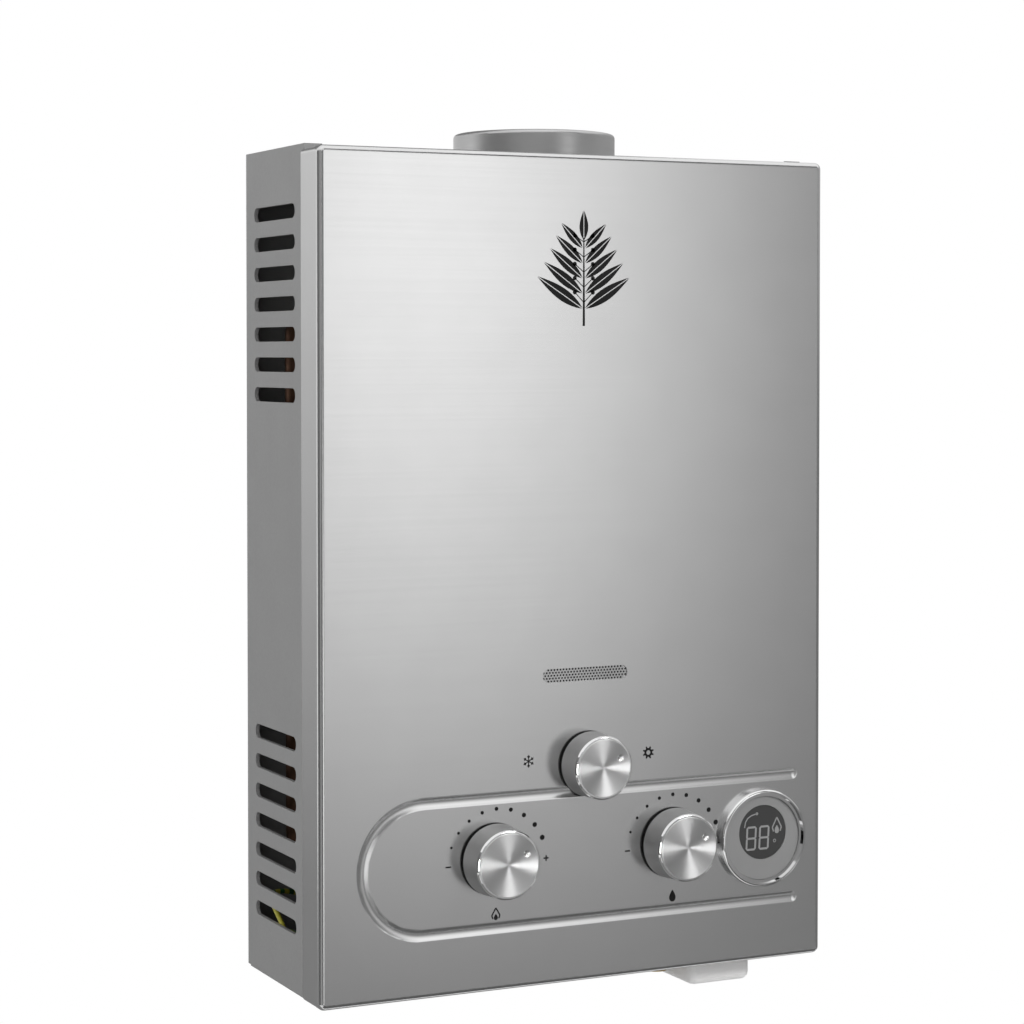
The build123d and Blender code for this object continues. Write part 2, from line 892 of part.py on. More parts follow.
with BuildPart() as display_board:
    bar(
        (display_x, front_y + bezel_tube_depth, display_z),
        (display_x, front_y - board_front, display_z),
        bezel_inner_radius - display_fit,
    )
    block(
        (display_x - module_width / 2, display_x + module_width / 2),
        (front_y - lens_back, front_y - board_front),
        (lens_z - module_width / 2, lens_z + module_width / 2),
    )
keep(display_board, "display_board")


# Battery box, its hinged lid and two cells
def round_box(x, y, z, corner):
    """A box with rounded upright corners."""
    with BuildPart() as solid:
        block(x, y, z)
        fillet(solid.edges().filter_by(Axis.Z), corner)
    return solid.part


battery_sides = (battery_left, battery_right)
battery_ends = (battery_front, battery_back)
inner_sides = (battery_left + battery_wall, battery_right - battery_wall)
inner_ends = (battery_front + battery_wall, battery_back - battery_wall)
ear_sides = (battery_x - hinge_knuckle / 2, battery_x + hinge_knuckle / 2)
ear_radius = hinge_radius - hinge_slack
ear_back = hinge_y + ear_radius
box_outer = round_box(battery_sides, battery_ends, (floor_under, battery_top), lid_corner)
box_inner = round_box(inner_sides, inner_ends, (floor_under, cell_top), lid_corner - battery_wall)
with BuildPart() as battery_box:
    add(box_outer)
    block(
        (battery_left - battery_flange, battery_right + battery_flange),
        (battery_front - battery_flange, battery_back + battery_flange),
        (floor_top, floor_top + battery_wall),
    )
    block(ear_sides, (battery_back, ear_back), (floor_under, floor_top + battery_wall))
    block(ear_sides, (battery_back + hinge_slack, ear_back), (hinge_z, floor_under))
    bar((ear_sides[0], hinge_y, hinge_z), (ear_sides[1], hinge_y, hinge_z), ear_radius)
    add(box_inner, mode=Mode.SUBTRACT)
    bar((ear_sides[0], hinge_y, hinge_z), (ear_sides[1], hinge_y, hinge_z), hinge_pin_radius, Mode.SUBTRACT)
keep(battery_box, "battery_box")

lid_floor = lid_bottom + battery_wall
lid_outer = round_box(battery_sides, battery_ends, (lid_bottom, lid_top), lid_corner)
lid_inner = round_box(inner_sides, inner_ends, (lid_floor, lid_top), lid_corner - battery_wall)
knuckle_step = hinge_knuckle + hinge_slack
knuckle_places = (battery_x - knuckle_step, battery_x + knuckle_step)
with BuildPart() as battery_lid:
    add(lid_outer)
    fillet(battery_lid.faces().sort_by(Axis.Z)[0].edges(), lid_edge)
    for x in knuckle_places:
        sides = (x - hinge_knuckle / 2, x + hinge_knuckle / 2)
        block(sides, (battery_back - battery_wall, hinge_y), (hinge_z - hinge_radius, hinge_z + hinge_radius))
        bar((sides[0], hinge_y, hinge_z), (sides[1], hinge_y, hinge_z), hinge_radius)
        bar(
            (sides[0], hinge_y, hinge_z),
            (sides[1], hinge_y, hinge_z),
            hinge_pin_radius + running_fit,
            Mode.SUBTRACT,
        )
    add(lid_inner, mode=Mode.SUBTRACT)
keep(battery_lid, "battery_lid")

with BuildPart() as battery_lid_pin:
    bar(
        (knuckle_places[0] - hinge_knuckle / 2, hinge_y, hinge_z),
        (knuckle_places[1] + hinge_knuckle / 2, hinge_y, hinge_z),
        hinge_pin_radius,
    )
keep(battery_lid_pin, "battery_lid_pin")

with BuildPart() as battery_cells:
    cell_half_pitch = cell_radius + cell_slack / 2
    battery_y = (battery_front + battery_back) / 2
    for y in (battery_y - cell_half_pitch, battery_y + cell_half_pitch):
        bar((battery_x, y, cell_bottom), (battery_x, y, cell_top - cell_nub_height), cell_radius)
        bar((battery_x, y, cell_top - cell_nub_height), (battery_x, y, cell_top), cell_nub_radius)
keep(battery_cells, "battery_cells")

# Water valve: body, diaphragm, its cover and the push rod to the gas valve
valve_ends = (valve_front, valve_back)
valve_heights = (valve_bottom, valve_top)
plug_bore_end = valve_front + plug_end_room + plug_length + plug_end_room
with BuildPart() as water_valve_body:
    block((water_left, water_right), valve_ends, valve_heights)
    fillet(water_valve_body.edges(), valve_edge)
    bar(
        (water_x, valve_front, knob_z),
        (water_x, plug_bore_end, knob_z),
        water_plug_radius + running_fit,
        Mode.SUBTRACT,
    )
    bar(
        (water_left, rod_y, knob_z),
        (water_left + port_depth, rod_y, knob_z),
        diaphragm_cavity,
        Mode.SUBTRACT,
    )
    bar(
        (water_x, connection_y, valve_bottom),
        (water_x, connection_y, valve_bottom + port_depth),
        port_radius,
        Mode.SUBTRACT,
    )
    bar(
        (water_right - port_depth, tube_front_y, knob_z),
        (water_right, tube_front_y, knob_z),
        port_radius,
        Mode.SUBTRACT,
    )
    bar(
        (drain_x, drain_y, valve_bottom),
        (drain_x, drain_y, valve_bottom + drain_engagement + plug_end_room),
        drain_stem_radius + running_fit,
        Mode.SUBTRACT,
    )
keep(water_valve_body, "water_valve_body")

with BuildPart() as diaphragm:
    bar((diaphragm_left, rod_y, knob_z), (water_left, rod_y, knob_z), diaphragm_radius)
keep(diaphragm, "diaphragm")

cavity_left = diaphragm_cover_left + diaphragm_cover_wall
with BuildPart() as diaphragm_cover:
    bar((diaphragm_cover_left, rod_y, knob_z), (diaphragm_left, rod_y, knob_z), diaphragm_radius)
    bar((cavity_left, rod_y, knob_z), (diaphragm_left, rod_y, knob_z), diaphragm_cavity, Mode.SUBTRACT)
    bar(
        (diaphragm_cover_left, rod_y, knob_z),
        (cavity_left, rod_y, knob_z),
        rod_radius + running_fit,
        Mode.SUBTRACT,
    )
keep(diaphragm_cover, "diaphragm_cover")

collar_left = switch_x + lever_sheet / 2 + rest_gap
with BuildPart() as push_rod:
    bar((rod_left, rod_y, knob_z), (plate_right, rod_y, knob_z), rod_radius)
    bar((plate_right - plate_thickness, rod_y, knob_z), (plate_right, rod_y, knob_z), plate_radius)
    bar(
        (collar_left, rod_y, knob_z),
        (collar_left + collar_on_rod_length, rod_y, knob_z),
        collar_on_rod_radius,
    )
keep(push_rod, "push_rod")

# Gas valve: body, poppet, spring and the solenoid that closes its chamber
with BuildPart() as gas_valve_body:
    block((gas_left, gas_right), valve_ends, valve_heights)
    fillet(gas_valve_body.edges(), valve_edge)
    bar(
        (gas_x, valve_front, knob_z),
        (gas_x, plug_bore_end, knob_z),
        gas_plug_radius + running_fit,
        Mode.SUBTRACT,
    )
    bar((gas_left, rod_y, knob_z), (seat_x, rod_y, knob_z), gas_chamber_radius, Mode.SUBTRACT)
    bar((seat_x, rod_y, knob_z), (gas_right, rod_y, knob_z), rod_radius + running_fit, Mode.SUBTRACT)
    bar(
        (gas_x, connection_y, valve_bottom),
        (gas_x, connection_y, valve_bottom + port_depth),
        port_radius,
        Mode.SUBTRACT,
    )
keep(gas_valve_body, "gas_valve_body")

poppet_left = rod_left - poppet_thickness
with BuildPart() as gas_poppet:
    bar((poppet_left, rod_y, knob_z), (rod_left, rod_y, knob_z), poppet_radius)
keep(gas_poppet, "gas_poppet")

with BuildPart() as gas_spring:
    bar((gas_left, rod_y, knob_z), (poppet_left, rod_y, knob_z), spring_radius)
    bar((gas_left, rod_y, knob_z), (poppet_left, rod_y, knob_z), spring_radius - spring_wall, Mode.SUBTRACT)
keep(gas_spring, "gas_spring")

solenoid_face = gas_left - solenoid_flange
with BuildPart() as solenoid_valve:
    bar((solenoid_face, rod_y, knob_z), (gas_left, rod_y, knob_z), solenoid_flange_radius)
    bar((solenoid_face - solenoid_length, rod_y, knob_z), (solenoid_face, rod_y, knob_z), solenoid_radius)
    fillet(solenoid_valve.faces().sort_by(Axis.X)[0].edges(), valve_edge)
keep(solenoid_valve, "solenoid_valve")

# Bracket that carries both valve bodies and the flow switch on the back plate
bracket_back = valve_back + bracket_sheet
bracket_heights = (knob_z - bracket_half_height, knob_z + bracket_half_height)
switch_sides = (switch_x - switch_length / 2, switch_x + switch_length / 2)
with BuildPart() as valve_bracket:
    block((gas_left, water_right), (valve_back, bracket_back), bracket_heights)
    block((gas_left, gas_left + bracket_sheet), (valve_back, back_in), bracket_heights)
    block((water_right - bracket_sheet, water_right), (valve_back, back_in), bracket_heights)
    block((gas_left, gas_left + bracket_foot), (back_in - bracket_sheet, back_in), bracket_heights)
    block((water_right - bracket_foot, water_right), (back_in - bracket_sheet, back_in), bracket_heights)
    block(switch_sides, (valve_back, bracket_back), (knob_z, switch_top + bracket_sheet))
    block(switch_sides, (rod_y - switch_half_width, bracket_back), (switch_top, switch_top + bracket_sheet))
keep(valve_bracket, "valve_bracket")

# Flow switch and the lever that the push rod's collar swings
lever_half_width = lever_width / 2
ear_low = pivot_z - lever_hub_radius
with BuildPart() as micro_switch:
    block(switch_sides, (rod_y - switch_half_width, rod_y + switch_half_width), (switch_bottom, switch_top))
    for side in (-1, 1):
        ear_span = sorted((rod_y + side * (lever_half_width + rest_gap), rod_y + side * switch_half_width))
        block((switch_x - lever_hub_radius, switch_x + lever_hub_radius), ear_span, (ear_low, switch_bottom))
    bar(
        (switch_x, rod_y - switch_half_width, pivot_z),
        (switch_x, rod_y + switch_half_width, pivot_z),
        lever_pin_radius,
    )
keep(micro_switch, "micro_switch")

lever_ends = (rod_y - lever_half_width, rod_y + lever_half_width)
with BuildPart() as switch_lever:
    bar((switch_x, lever_ends[0], pivot_z), (switch_x, lever_ends[1], pivot_z), lever_hub_radius)
    block(
        (switch_x - lever_sheet / 2, switch_x + lever_sheet / 2), lever_ends, (pivot_z - lever_arm, pivot_z)
    )
    bar(
        (switch_x, lever_ends[0], pivot_z),
        (switch_x, lever_ends[1], pivot_z),
        lever_pin_radius + running_fit,
        Mode.SUBTRACT,
    )
keep(switch_lever, "switch_lever")


# Threaded inlets under the valves
def inlet(name, x):
    with BuildPart() as stub:
        bar((x, connection_y, pipe_end), (x, connection_y, cover_bottom), thread_radius)
        bar((x, connection_y, cover_bottom), (x, connection_y, floor_top), thread_radius - thread_relief)
        bar((x, connection_y, floor_top), (x, connection_y, valve_bottom), neck_radius)
        with BuildSketch(Plane((x, connection_y, floor_top))):
            RegularPolygon(hex_radius, 6)
        extrude(amount=hex_height)
        bar((x, connection_y, pipe_end), (x, connection_y, valve_bottom), thread_bore, Mode.SUBTRACT)
    keep(stub, name)


inlet("gas_inlet", gas_x)
inlet("cold_inlet", water_x)

# Drain plug under the water valve
drain_end = cover_bottom - drain_below
with BuildPart() as drain_plug:
    bar((drain_x, drain_y, drain_end), (drain_x, drain_y, drain_end + drain_knob_height), drain_knob_radius)
    bar(
        (drain_x, drain_y, drain_end + drain_knob_height),
        (drain_x, drain_y, valve_bottom + drain_engagement),
        drain_stem_radius,
    )
keep(drain_plug, "drain_plug")

# Gas manifold with its feed from the gas valve, and the jets
feed_y = valve_front + feed_setback
feed_z = season_z - feed_drop
with BuildPart() as gas_manifold:
    block((-chamber_half, chamber_half), (manifold_front, manifold_back), (manifold_low, manifold_high))
    for side in (-1, 1):
        lug = sorted((side * chamber_half, side * (chamber_half - lug_width)))
        block(lug, (manifold_back, chamber_front), (season_z - lug_width / 2, season_z + lug_width / 2))
    with BuildLine() as feed_path:
        FilletPolyline(
            (gas_x, feed_y, valve_top),
            (gas_x, feed_y, feed_z),
            (gas_x, manifold_back, feed_z),
            radius=feed_bend,
        )
    with BuildSketch(Plane(origin=feed_path.line @ 0, z_dir=feed_path.line % 0)):
        Circle(feed_radius)
        Circle(feed_radius - feed_wall, mode=Mode.SUBTRACT)
    sweep(path=feed_path.line)
    bar(
        (season_x, manifold_front, season_z),
        (season_x, manifold_front + season_plug_length + 2 * season_plug_room, season_z),
        season_plug_radius + running_fit,
        Mode.SUBTRACT,
    )
keep(gas_manifold, "gas_manifold")

with BuildPart() as gas_jets:
    for x in burner_places:
        bar((x, manifold_back, season_z), (x, manifold_back + jet_shoulder, season_z), jet_radius)
        bar(
            (x, manifold_back + jet_shoulder, season_z),
            (x, chamber_front - jet_tip_gap, season_z),
            jet_tip_radius,
        )
keep(gas_jets, "gas_jets")

# Burner frame and the burner bars that it holds
frame_low = mouth_low
with BuildPart() as burner_frame:
    block((-chamber_half, chamber_half), (chamber_front, chamber_back), (frame_low, chamber_bottom))
    block(
        (frame_sheet - chamber_half, chamber_half - frame_sheet),
        (burner_front, burner_back),
        (frame_low, chamber_bottom),
        Mode.SUBTRACT,
    )
    block(
        (burner_places[0] - burner_thickness / 2, burner_places[-1] + burner_thickness / 2),
        (chamber_front, burner_front),
        (season_z - mouth_slot / 2, season_z + mouth_slot / 2),
        Mode.SUBTRACT,
    )
    for side in (-1, 1):
        x = side * (chamber_half - frame_bracket_width / 2)
        block(
            (x - frame_bracket_width / 2, x + frame_bracket_width / 2),
            (chamber_back, back_in),
            (chamber_bottom - frame_bracket_sheet, chamber_bottom),
        )
keep(burner_frame, "burner_frame")

with BuildPart() as burner_bars:
    with BuildSketch(*[Plane.YZ.offset(x) for x in burner_places]):
        with BuildLine():
            Polyline(
                (burner_front, mouth_low),
                (burner_back - burner_neck, mouth_low),
                (burner_back, mouth_low + burner_neck),
                (burner_back, burner_top),
                (burner_front, burner_top),
                (burner_front, burner_top - burner_band),
                (burner_back - burner_neck, burner_top - burner_band),
                (burner_back - burner_neck, mouth_high + burner_throat_slope),
                (burner_back - 2 * burner_neck, mouth_high),
                (burner_front, mouth_high),
                close=True,
            )
        make_face()
    extrude(amount=burner_thickness / 2, both=True)
keep(burner_bars, "burner_bars")

# Combustion chamber with the sight opening and holes for the tube and electrodes
electrode_z = grille_z + electrode_rise
electrode_places = (panel_axis_x - electrode_spacing / 2, panel_axis_x + electrode_spacing / 2)
tube_places = (tube_front_y, chamber_y, tube_rear_y)
chamber_ends = (chamber_front + chamber_sheet, chamber_back - chamber_sheet)
with BuildPart() as combustion_chamber:
    block((-chamber_half, chamber_half), (chamber_front, chamber_back), (chamber_bottom, chamber_top))
    block(
        (chamber_sheet - chamber_half, chamber_half - chamber_sheet),
        chamber_ends,
        (chamber_bottom, chamber_top),
        Mode.SUBTRACT,
    )
    block(
        (panel_axis_x - sight_length / 2, panel_axis_x + sight_length / 2),
        (chamber_front, chamber_front + chamber_sheet),
        (grille_z - sight_height / 2, grille_z + sight_height / 2),
        Mode.SUBTRACT,
    )
    for x in electrode_places:
        bar(
            (x, chamber_front, electrode_z),
            (x, chamber_front + chamber_sheet, electrode_z),
            electrode_radius,
            Mode.SUBTRACT,
        )
    for y in tube_places:
        bar((-chamber_half, y, tube_z), (chamber_half, y, tube_z), tube_radius, Mode.SUBTRACT)
keep(combustion_chamber, "combustion_chamber")

# Heat exchanger: fins and the tube that runs through them three times
fin_pitch = 2 * (chamber_half - fin_end_room) / (fin_count - 1)
fin_places = [(i - (fin_count - 1) / 2) * fin_pitch for i in range(fin_count)]
with BuildPart() as exchanger_fins:
    with BuildSketch(*[Plane.YZ.offset(x) for x in fin_places]):
        with Locations((chamber_y, chamber_top - fin_height / 2)):
            Rectangle(chamber_ends[1] - chamber_ends[0], fin_height)
        with Locations(*[(y, tube_z) for y in tube_places]):
            Circle(tube_radius, mode=Mode.SUBTRACT)
    extrude(amount=fin_sheet / 2, both=True)
keep(exchanger_fins, "exchanger_fins")

with BuildPart() as exchanger_tube:
    with BuildLine(Plane.XY.offset(tube_z)) as tube_path:
        Line((tube_end_x, tube_front_y), (-tube_bend_x, tube_front_y))
        CenterArc((-tube_bend_x, tube_front_y + tube_pitch / 2), tube_pitch / 2, -90, -180)
        Line((-tube_bend_x, chamber_y), (tube_bend_x, chamber_y))
        CenterArc((tube_bend_x, chamber_y + tube_pitch / 2), tube_pitch / 2, -90, 180)
        Line((tube_bend_x, tube_rear_y), (-tube_end_x, tube_rear_y))
    with BuildSketch(Plane(origin=tube_path.line @ 0, z_dir=tube_path.line % 0)):
        Circle(tube_radius)
        Circle(tube_radius - tube_wall, mode=Mode.SUBTRACT)
    sweep(path=tube_path.line)
keep(exchanger_tube, "exchanger_tube")

with BuildPart() as riser_pipe:
    with BuildLine() as riser_path:
        FilletPolyline(
            (water_right, tube_front_y, knob_z),
            (riser_x, tube_front_y, knob_z),
            (riser_x, tube_front_y, tube_z),
            (tube_end_x, tube_front_y, tube_z),
            radius=riser_bend,
        )
    with BuildSketch(Plane(origin=riser_path.line @ 0, z_dir=riser_path.line % 0)):
        Circle(tube_radius)
        Circle(tube_radius - tube_wall, mode=Mode.SUBTRACT)
    sweep(path=riser_path.line)
keep(riser_pipe, "riser_pipe")

with BuildPart() as outlet_pipe:
    with BuildLine() as outlet_path:
        FilletPolyline(
            (-tube_end_x, tube_rear_y, tube_z),
            (-riser_x, tube_rear_y, tube_z),
            (-riser_x, tube_rear_y, cover_bottom + outlet_jog_high),
            (outlet_x, tube_rear_y, cover_bottom + outlet_jog_low),
            (outlet_x, tube_rear_y, floor_top),
            radius=riser_bend,
        )
    with BuildSketch(Plane(origin=outlet_path.line @ 0, z_dir=outlet_path.line % 0)):
        Circle(tube_radius)
        Circle(tube_radius - tube_wall, mode=Mode.SUBTRACT)
    sweep(path=outlet_path.line)
    bar((outlet_x, tube_rear_y, pipe_end), (outlet_x, tube_rear_y, cover_bottom), thread_radius)
    bar(
        (outlet_x, tube_rear_y, cover_bottom),
        (outlet_x, tube_rear_y, floor_top),
        thread_radius - thread_relief,
    )
    with BuildSketch(Plane((outlet_x, tube_rear_y, floor_top))):
        RegularPolygon(hex_radius, 6)
        Circle(tube_radius, mode=Mode.SUBTRACT)
    extrude(amount=hex_height)
    bar(
        (outlet_x, tube_rear_y, pipe_end),
        (outlet_x, tube_rear_y, floor_top),
        tube_radius - tube_wall,
        Mode.SUBTRACT,
    )
keep(outlet_pipe, "outlet_pipe")

with BuildPart() as union_nuts:
    for x, y in ((tube_end_x, tube_front_y), (-tube_end_x, tube_rear_y)):
        with BuildSketch(Plane(origin=(x, y, tube_z), x_dir=(0, 1, 0), z_dir=(1, 0, 0))):
            RegularPolygon(nut_radius, 6)
            Circle(tube_radius, mode=Mode.SUBTRACT)
        extrude(amount=nut_length / 2, both=True)
keep(union_nuts, "union_nuts")

# Igniter and flame sensor electrodes, overheat thermostat and the spark unit
electrode_front = chamber_front - electrode_out
boot_front = electrode_front - boot_depth
with BuildPart() as electrodes:
    for x in electrode_places:
        tip = chamber_front + electrode_in
        bar((x, electrode_front, electrode_z), (x, tip, electrode_z), electrode_radius)
        bar((x, tip, electrode_z), (x, tip + electrode_needle, electrode_z), electrode_needle_radius)
        block(
            (x - boot_size / 2, x + boot_size / 2),
            (boot_front, electrode_front),
            (electrode_z - boot_size / 2, electrode_z + boot_size / 2),
        )
        block(
            (x - boot_size / 2, x + boot_size / 2),
            (chamber_front - electrode_flange, chamber_front),
            (electrode_z - boot_size / 2, electrode_z + boot_size / 2),
        )
keep(electrodes, "electrodes")

thermostat_z = chamber_bottom + thermostat_rise
with BuildPart() as thermostat:
    bar(
        (-chamber_half - thermostat_height, chamber_y, thermostat_z),
        (-chamber_half, chamber_y, thermostat_z),
        thermostat_radius,
    )
    fillet(thermostat.faces().sort_by(Axis.X)[0].edges(), igniter_edge)
keep(thermostat, "thermostat")

with BuildPart() as igniter_box:
    block(
        (igniter_left, igniter_left + igniter_width),
        (back_in - igniter_depth, back_in),
        (igniter_bottom, igniter_top),
    )
    fillet(igniter_box.edges().filter_by(Axis.Y), igniter_edge)
keep(igniter_box, "igniter_box")


# Leads, swept along straight runs joined by arcs as large as the runs allow
def lead_radii(points):
    """The largest tidy arc at each inner point of a route."""
    places = [Vector(*point) for point in points]
    radii = []
    for before, here, after in zip(places, places[1:], places[2:]):
        turn = (here - before).get_angle(after - here)
        shorter = min((here - before).length, (after - here).length)
        half_turn = radians(turn / 2)
        radii.append(lead_bend_share * shorter * cos(half_turn) / sin(half_turn))
    return radii


def lead_tube(points, name):
    radii = lead_radii(points)
    print(name, "bend radii", [round(radius, 1) for radius in radii])
    with BuildPart() as tube:
        with BuildLine() as path:
            FilletPolyline(*points, radius=radii)
        with BuildSketch(Plane(origin=path.line @ 0, z_dir=path.line % 0)):
            Circle(lead_radius)
        sweep(path=path.line)
    return tube.part


boot_side = electrode_places[0] - boot_size / 2
boot_y = (boot_front + electrode_front) / 2
ignition_route = [(igniter_left + right, -out, igniter_top + up) for right, out, up in ignition_bends]
ignition_route += [(boot_side - left, -out, electrode_z - down) for left, out, down in boot_bends]
ignition_route += [(boot_side - boot_run, boot_y, electrode_z), (boot_side, boot_y, electrode_z)]
ignition_tube = lead_tube(ignition_route, "ignition_lead")
with BuildPart() as ignition_lead:
    add(ignition_tube)
keep(ignition_lead, "ignition_lead")

clip_x = lead_radius + cover_gap + vent_rim - side_in
vent_low_z = -vent_group_height - vent_pitch * (vent_count - 1) / 2
clip_back = -earth_slant_end[0]
clip_z = vent_low_z + earth_slant_end[1]
earth_route = [(igniter_left - left, -out, igniter_bottom + up) for left, out, up in earth_bends]
earth_route += [(clip_x, -out, vent_low_z + up) for out, up in (earth_slant_start, earth_slant_end)]
earth_route += [(clip_x, clip_back - clip_length, clip_z)]
earth_tube = lead_tube(earth_route, "earth_lead")
with BuildPart() as earth_lead:
    add(earth_tube)
    block(
        (-side_in, clip_x + 2 * lead_radius),
        (clip_back - clip_length, clip_back),
        (clip_z - clip_height / 2, clip_z + clip_height / 2),
    )
keep(earth_lead, "earth_lead")
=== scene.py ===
import json
from math import cos, floor, hypot, pi, radians, sin, sqrt, tau

import bmesh
import bpy
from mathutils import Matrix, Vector


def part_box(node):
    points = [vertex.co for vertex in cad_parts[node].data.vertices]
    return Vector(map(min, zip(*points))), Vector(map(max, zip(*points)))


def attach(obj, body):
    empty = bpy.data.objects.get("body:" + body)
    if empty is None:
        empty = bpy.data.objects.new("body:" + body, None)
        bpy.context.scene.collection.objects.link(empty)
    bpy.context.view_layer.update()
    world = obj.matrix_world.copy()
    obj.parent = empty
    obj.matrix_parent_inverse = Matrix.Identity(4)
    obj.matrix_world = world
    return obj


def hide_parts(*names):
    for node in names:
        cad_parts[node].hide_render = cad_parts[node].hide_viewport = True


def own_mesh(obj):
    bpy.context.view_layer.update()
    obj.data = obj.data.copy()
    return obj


# Looks of a wall-hung gas tankless water heater, in metres; sizes in millimetres carry the factor MM.
# +X is right seen from the front, the front faces -Y and +Z is up.

MM = 0.001
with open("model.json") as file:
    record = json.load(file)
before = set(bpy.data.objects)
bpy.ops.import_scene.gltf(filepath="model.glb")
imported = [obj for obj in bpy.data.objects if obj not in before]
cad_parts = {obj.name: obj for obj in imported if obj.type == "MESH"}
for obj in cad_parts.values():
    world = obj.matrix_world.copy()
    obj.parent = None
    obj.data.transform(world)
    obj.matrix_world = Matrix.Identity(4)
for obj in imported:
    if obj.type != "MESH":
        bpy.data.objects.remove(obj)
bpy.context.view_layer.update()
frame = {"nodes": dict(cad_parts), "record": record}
knobs = ("gas", "water", "season")

# Camera
camera_place = Vector((-0.606, -1.2744, 0.1091))
camera_heading = Vector((0.436, 0.900, 0.0)).normalized()
camera_pitch = radians(1.64)
camera_lens = 90.27
camera_shift = (-0.0007, -0.0834)
camera_near = 0.01

# Studio; a place is an azimuth, an elevation and a distance
aim = Vector((0.0, -0.06, 0.0))
floor_drop = 1.6
floor_size = 16.0
floor_albedo = 0.75
floor_rough = 0.9
ambient = 0.46
key_place = (29, 31, 2.4)
key_size = (1.0, 0.7)
lamp_size = (1.4, 1.4)
card_grid = 60

# Front card: its tones, and where each fade across or up the card starts and ends
front_surround = 0.195
window_tone = 1.38
window_left = (-0.85, -0.45)
window_right = (-0.35, 0.58)
window_foot = (-1.02, 0.75)
window_head = (0.5, 1.4)
window_head_loss = 0.15
corner_tone = 0.25
corner_left = (0.9, 1.4)
corner_foot = (0.3, 0.6)

# Low left card: a patch that fades alike on both sides
patch_surround = 0.12
patch_tone = 1.05
patch_across = (-0.95, -0.45)
patch_up = (-0.6, -0.2)

# Right card
right_low = 0.20
right_rise = 0.3
right_fade = (0.02, 0.25)

# Angles above which edges stay sharp
sleeve_smooth = radians(28)
bevel_smooth = radians(20)
cap_smooth = radians(24)
cup_smooth = radians(35)
screw_smooth = radians(30)
pipe_smooth = radians(30)
coil_smooth = radians(60)

# Knob sleeves
cap_fit = 0.05 * MM
cap_rim = 0.8 * MM
knob_wall = 2.2 * MM
knob_chamfer = 1.4 * MM
knob_band = 0.7 * MM
band_lead = 0.15 * MM
band_swell = 0.02 * MM
bevel_break = 0.12 * MM
face_break = 0.1 * MM
polish_skin = 0.1 * MM
knurl_count = 108
knurl_depth = 0.32 * MM
knurl_samples = 4
knurl_foot = 0.5 * MM
knurl_top = 0.6 * MM

# Knob caps
cap_dish = 1.25 * MM
cap_bevel = 0.25 * MM
cap_steps = 240
cap_rings = 60
pointer_angle = radians(27.5)
pointer_share = 0.69
pointer_round = 1.7 * MM
pointer_depth = 0.55 * MM
pointer_back = 0.85 * MM
pointer_lip = 0.03 * MM
cup_steps = 32
cup_rings = 8
cup_mouth = 0.94

# Cover screws; the head's outline is in shares of its radius and height
screw_steps = 32
screw_shank = 2.0 * MM
head_round = ((1.0, 0.5), (0.92, 0.18))
head_crown = 0.72
recess_reach = 2.0 * MM
recess_width = 0.95 * MM
recess_depth = 1.3 * MM
recess_taper = 0.6

# Half inch pipe thread
thread_pitch = 1.814 * MM
thread_depth = 1.1 * MM
thread_bore = 7.0 * MM
thread_steps = 48
thread_rows_a_turn = 8
thread_gain = 1.3
thread_flat = 0.15

# Gas spring
coil_turns = 6
coil_wire = 0.45 * MM
coil_steps_a_turn = 24
coil_sides = 8

# Printed marks
print_proud = 0.06 * MM
print_sink = 0.05 * MM

# Dials: the middle across, the middle up and the radius of each
gas_dial = (-48.0 * MM, -149.3 * MM, 27.5 * MM)
water_dial = (54.4 * MM, -149.7 * MM, 27.6 * MM)
dial_dots = 9
dial_first = radians(159.4)
dial_last = radians(23.2)
dot_first = 1.35 * MM
dot_last = 2.7 * MM
sign_arm = 1.5 * MM
sign_line = 0.75 * MM

# Snowflake, with its forks and twigs in shares of its reach
winter_place = (-30.5 * MM, -98.9 * MM)
snow_arms = 6
snow_reach = 3.2 * MM
snow_line = 0.55 * MM
snow_fork = 0.6
snow_twig = 0.3
snow_lean = radians(50)
snow_hub = 1.05
snow_hub_steps = 12

# Sun
summer_place = (39.1 * MM, -99.1 * MM)
sun_inner = 1.2 * MM
sun_outer = 2.3 * MM
sun_reach = 3.3 * MM
sun_rays = 8
ray_root = 0.95
ray_base = 1.1 * MM
ray_tip = 0.7 * MM

# Flame and drop; the flame's inner sizes are shares of its height and width
gas_mark_place = (-49.0 * MM, -175.5 * MM)
gas_mark_size = (6.4 * MM, 4.6 * MM)
water_mark_place = (53.6 * MM, -175.5 * MM)
water_mark_size = (6.2 * MM, 5.0 * MM)
drop_steps = 28
flame_line = 0.7 * MM
flame_shoulder = 0.1
flame_foot = 0.35
flame_foot_width = 0.36
flame_drop_fall = 0.22
flame_drop_height = 0.5
flame_drop_width = 0.62

# Leaf sprig; a pair of values is for the lowest and the highest leaves
sprig_x = 1.0 * MM
sprig_low = 123.0 * MM
sprig_high = 182.0 * MM
stem_widths = (1.3 * MM, 0.6 * MM)
stem_short = 14.0 * MM
leaf_pairs = 5
leaf_start = 9.0 * MM
leaf_end = 19.0 * MM
leaf_root = 0.9 * MM
leaf_lengths = (30.0 * MM, 17.0 * MM)
leaf_widths = (3.0 * MM, 2.1 * MM)
leaf_leans = (radians(58), radians(44))
leaf_vein = 0.22 * MM
leaf_steps = 10
leaf_skew = 0.85
tip_leaf_length = 15.0 * MM
tip_leaf_width = 2.3 * MM
stalk_root = 3.0 * MM
stalk_reach = 5.2 * MM
stalk_rises = (8.2 * MM, 6.2 * MM)
stalk_line = 0.45 * MM
berry_radius = 1.15 * MM
berry_steps = 16

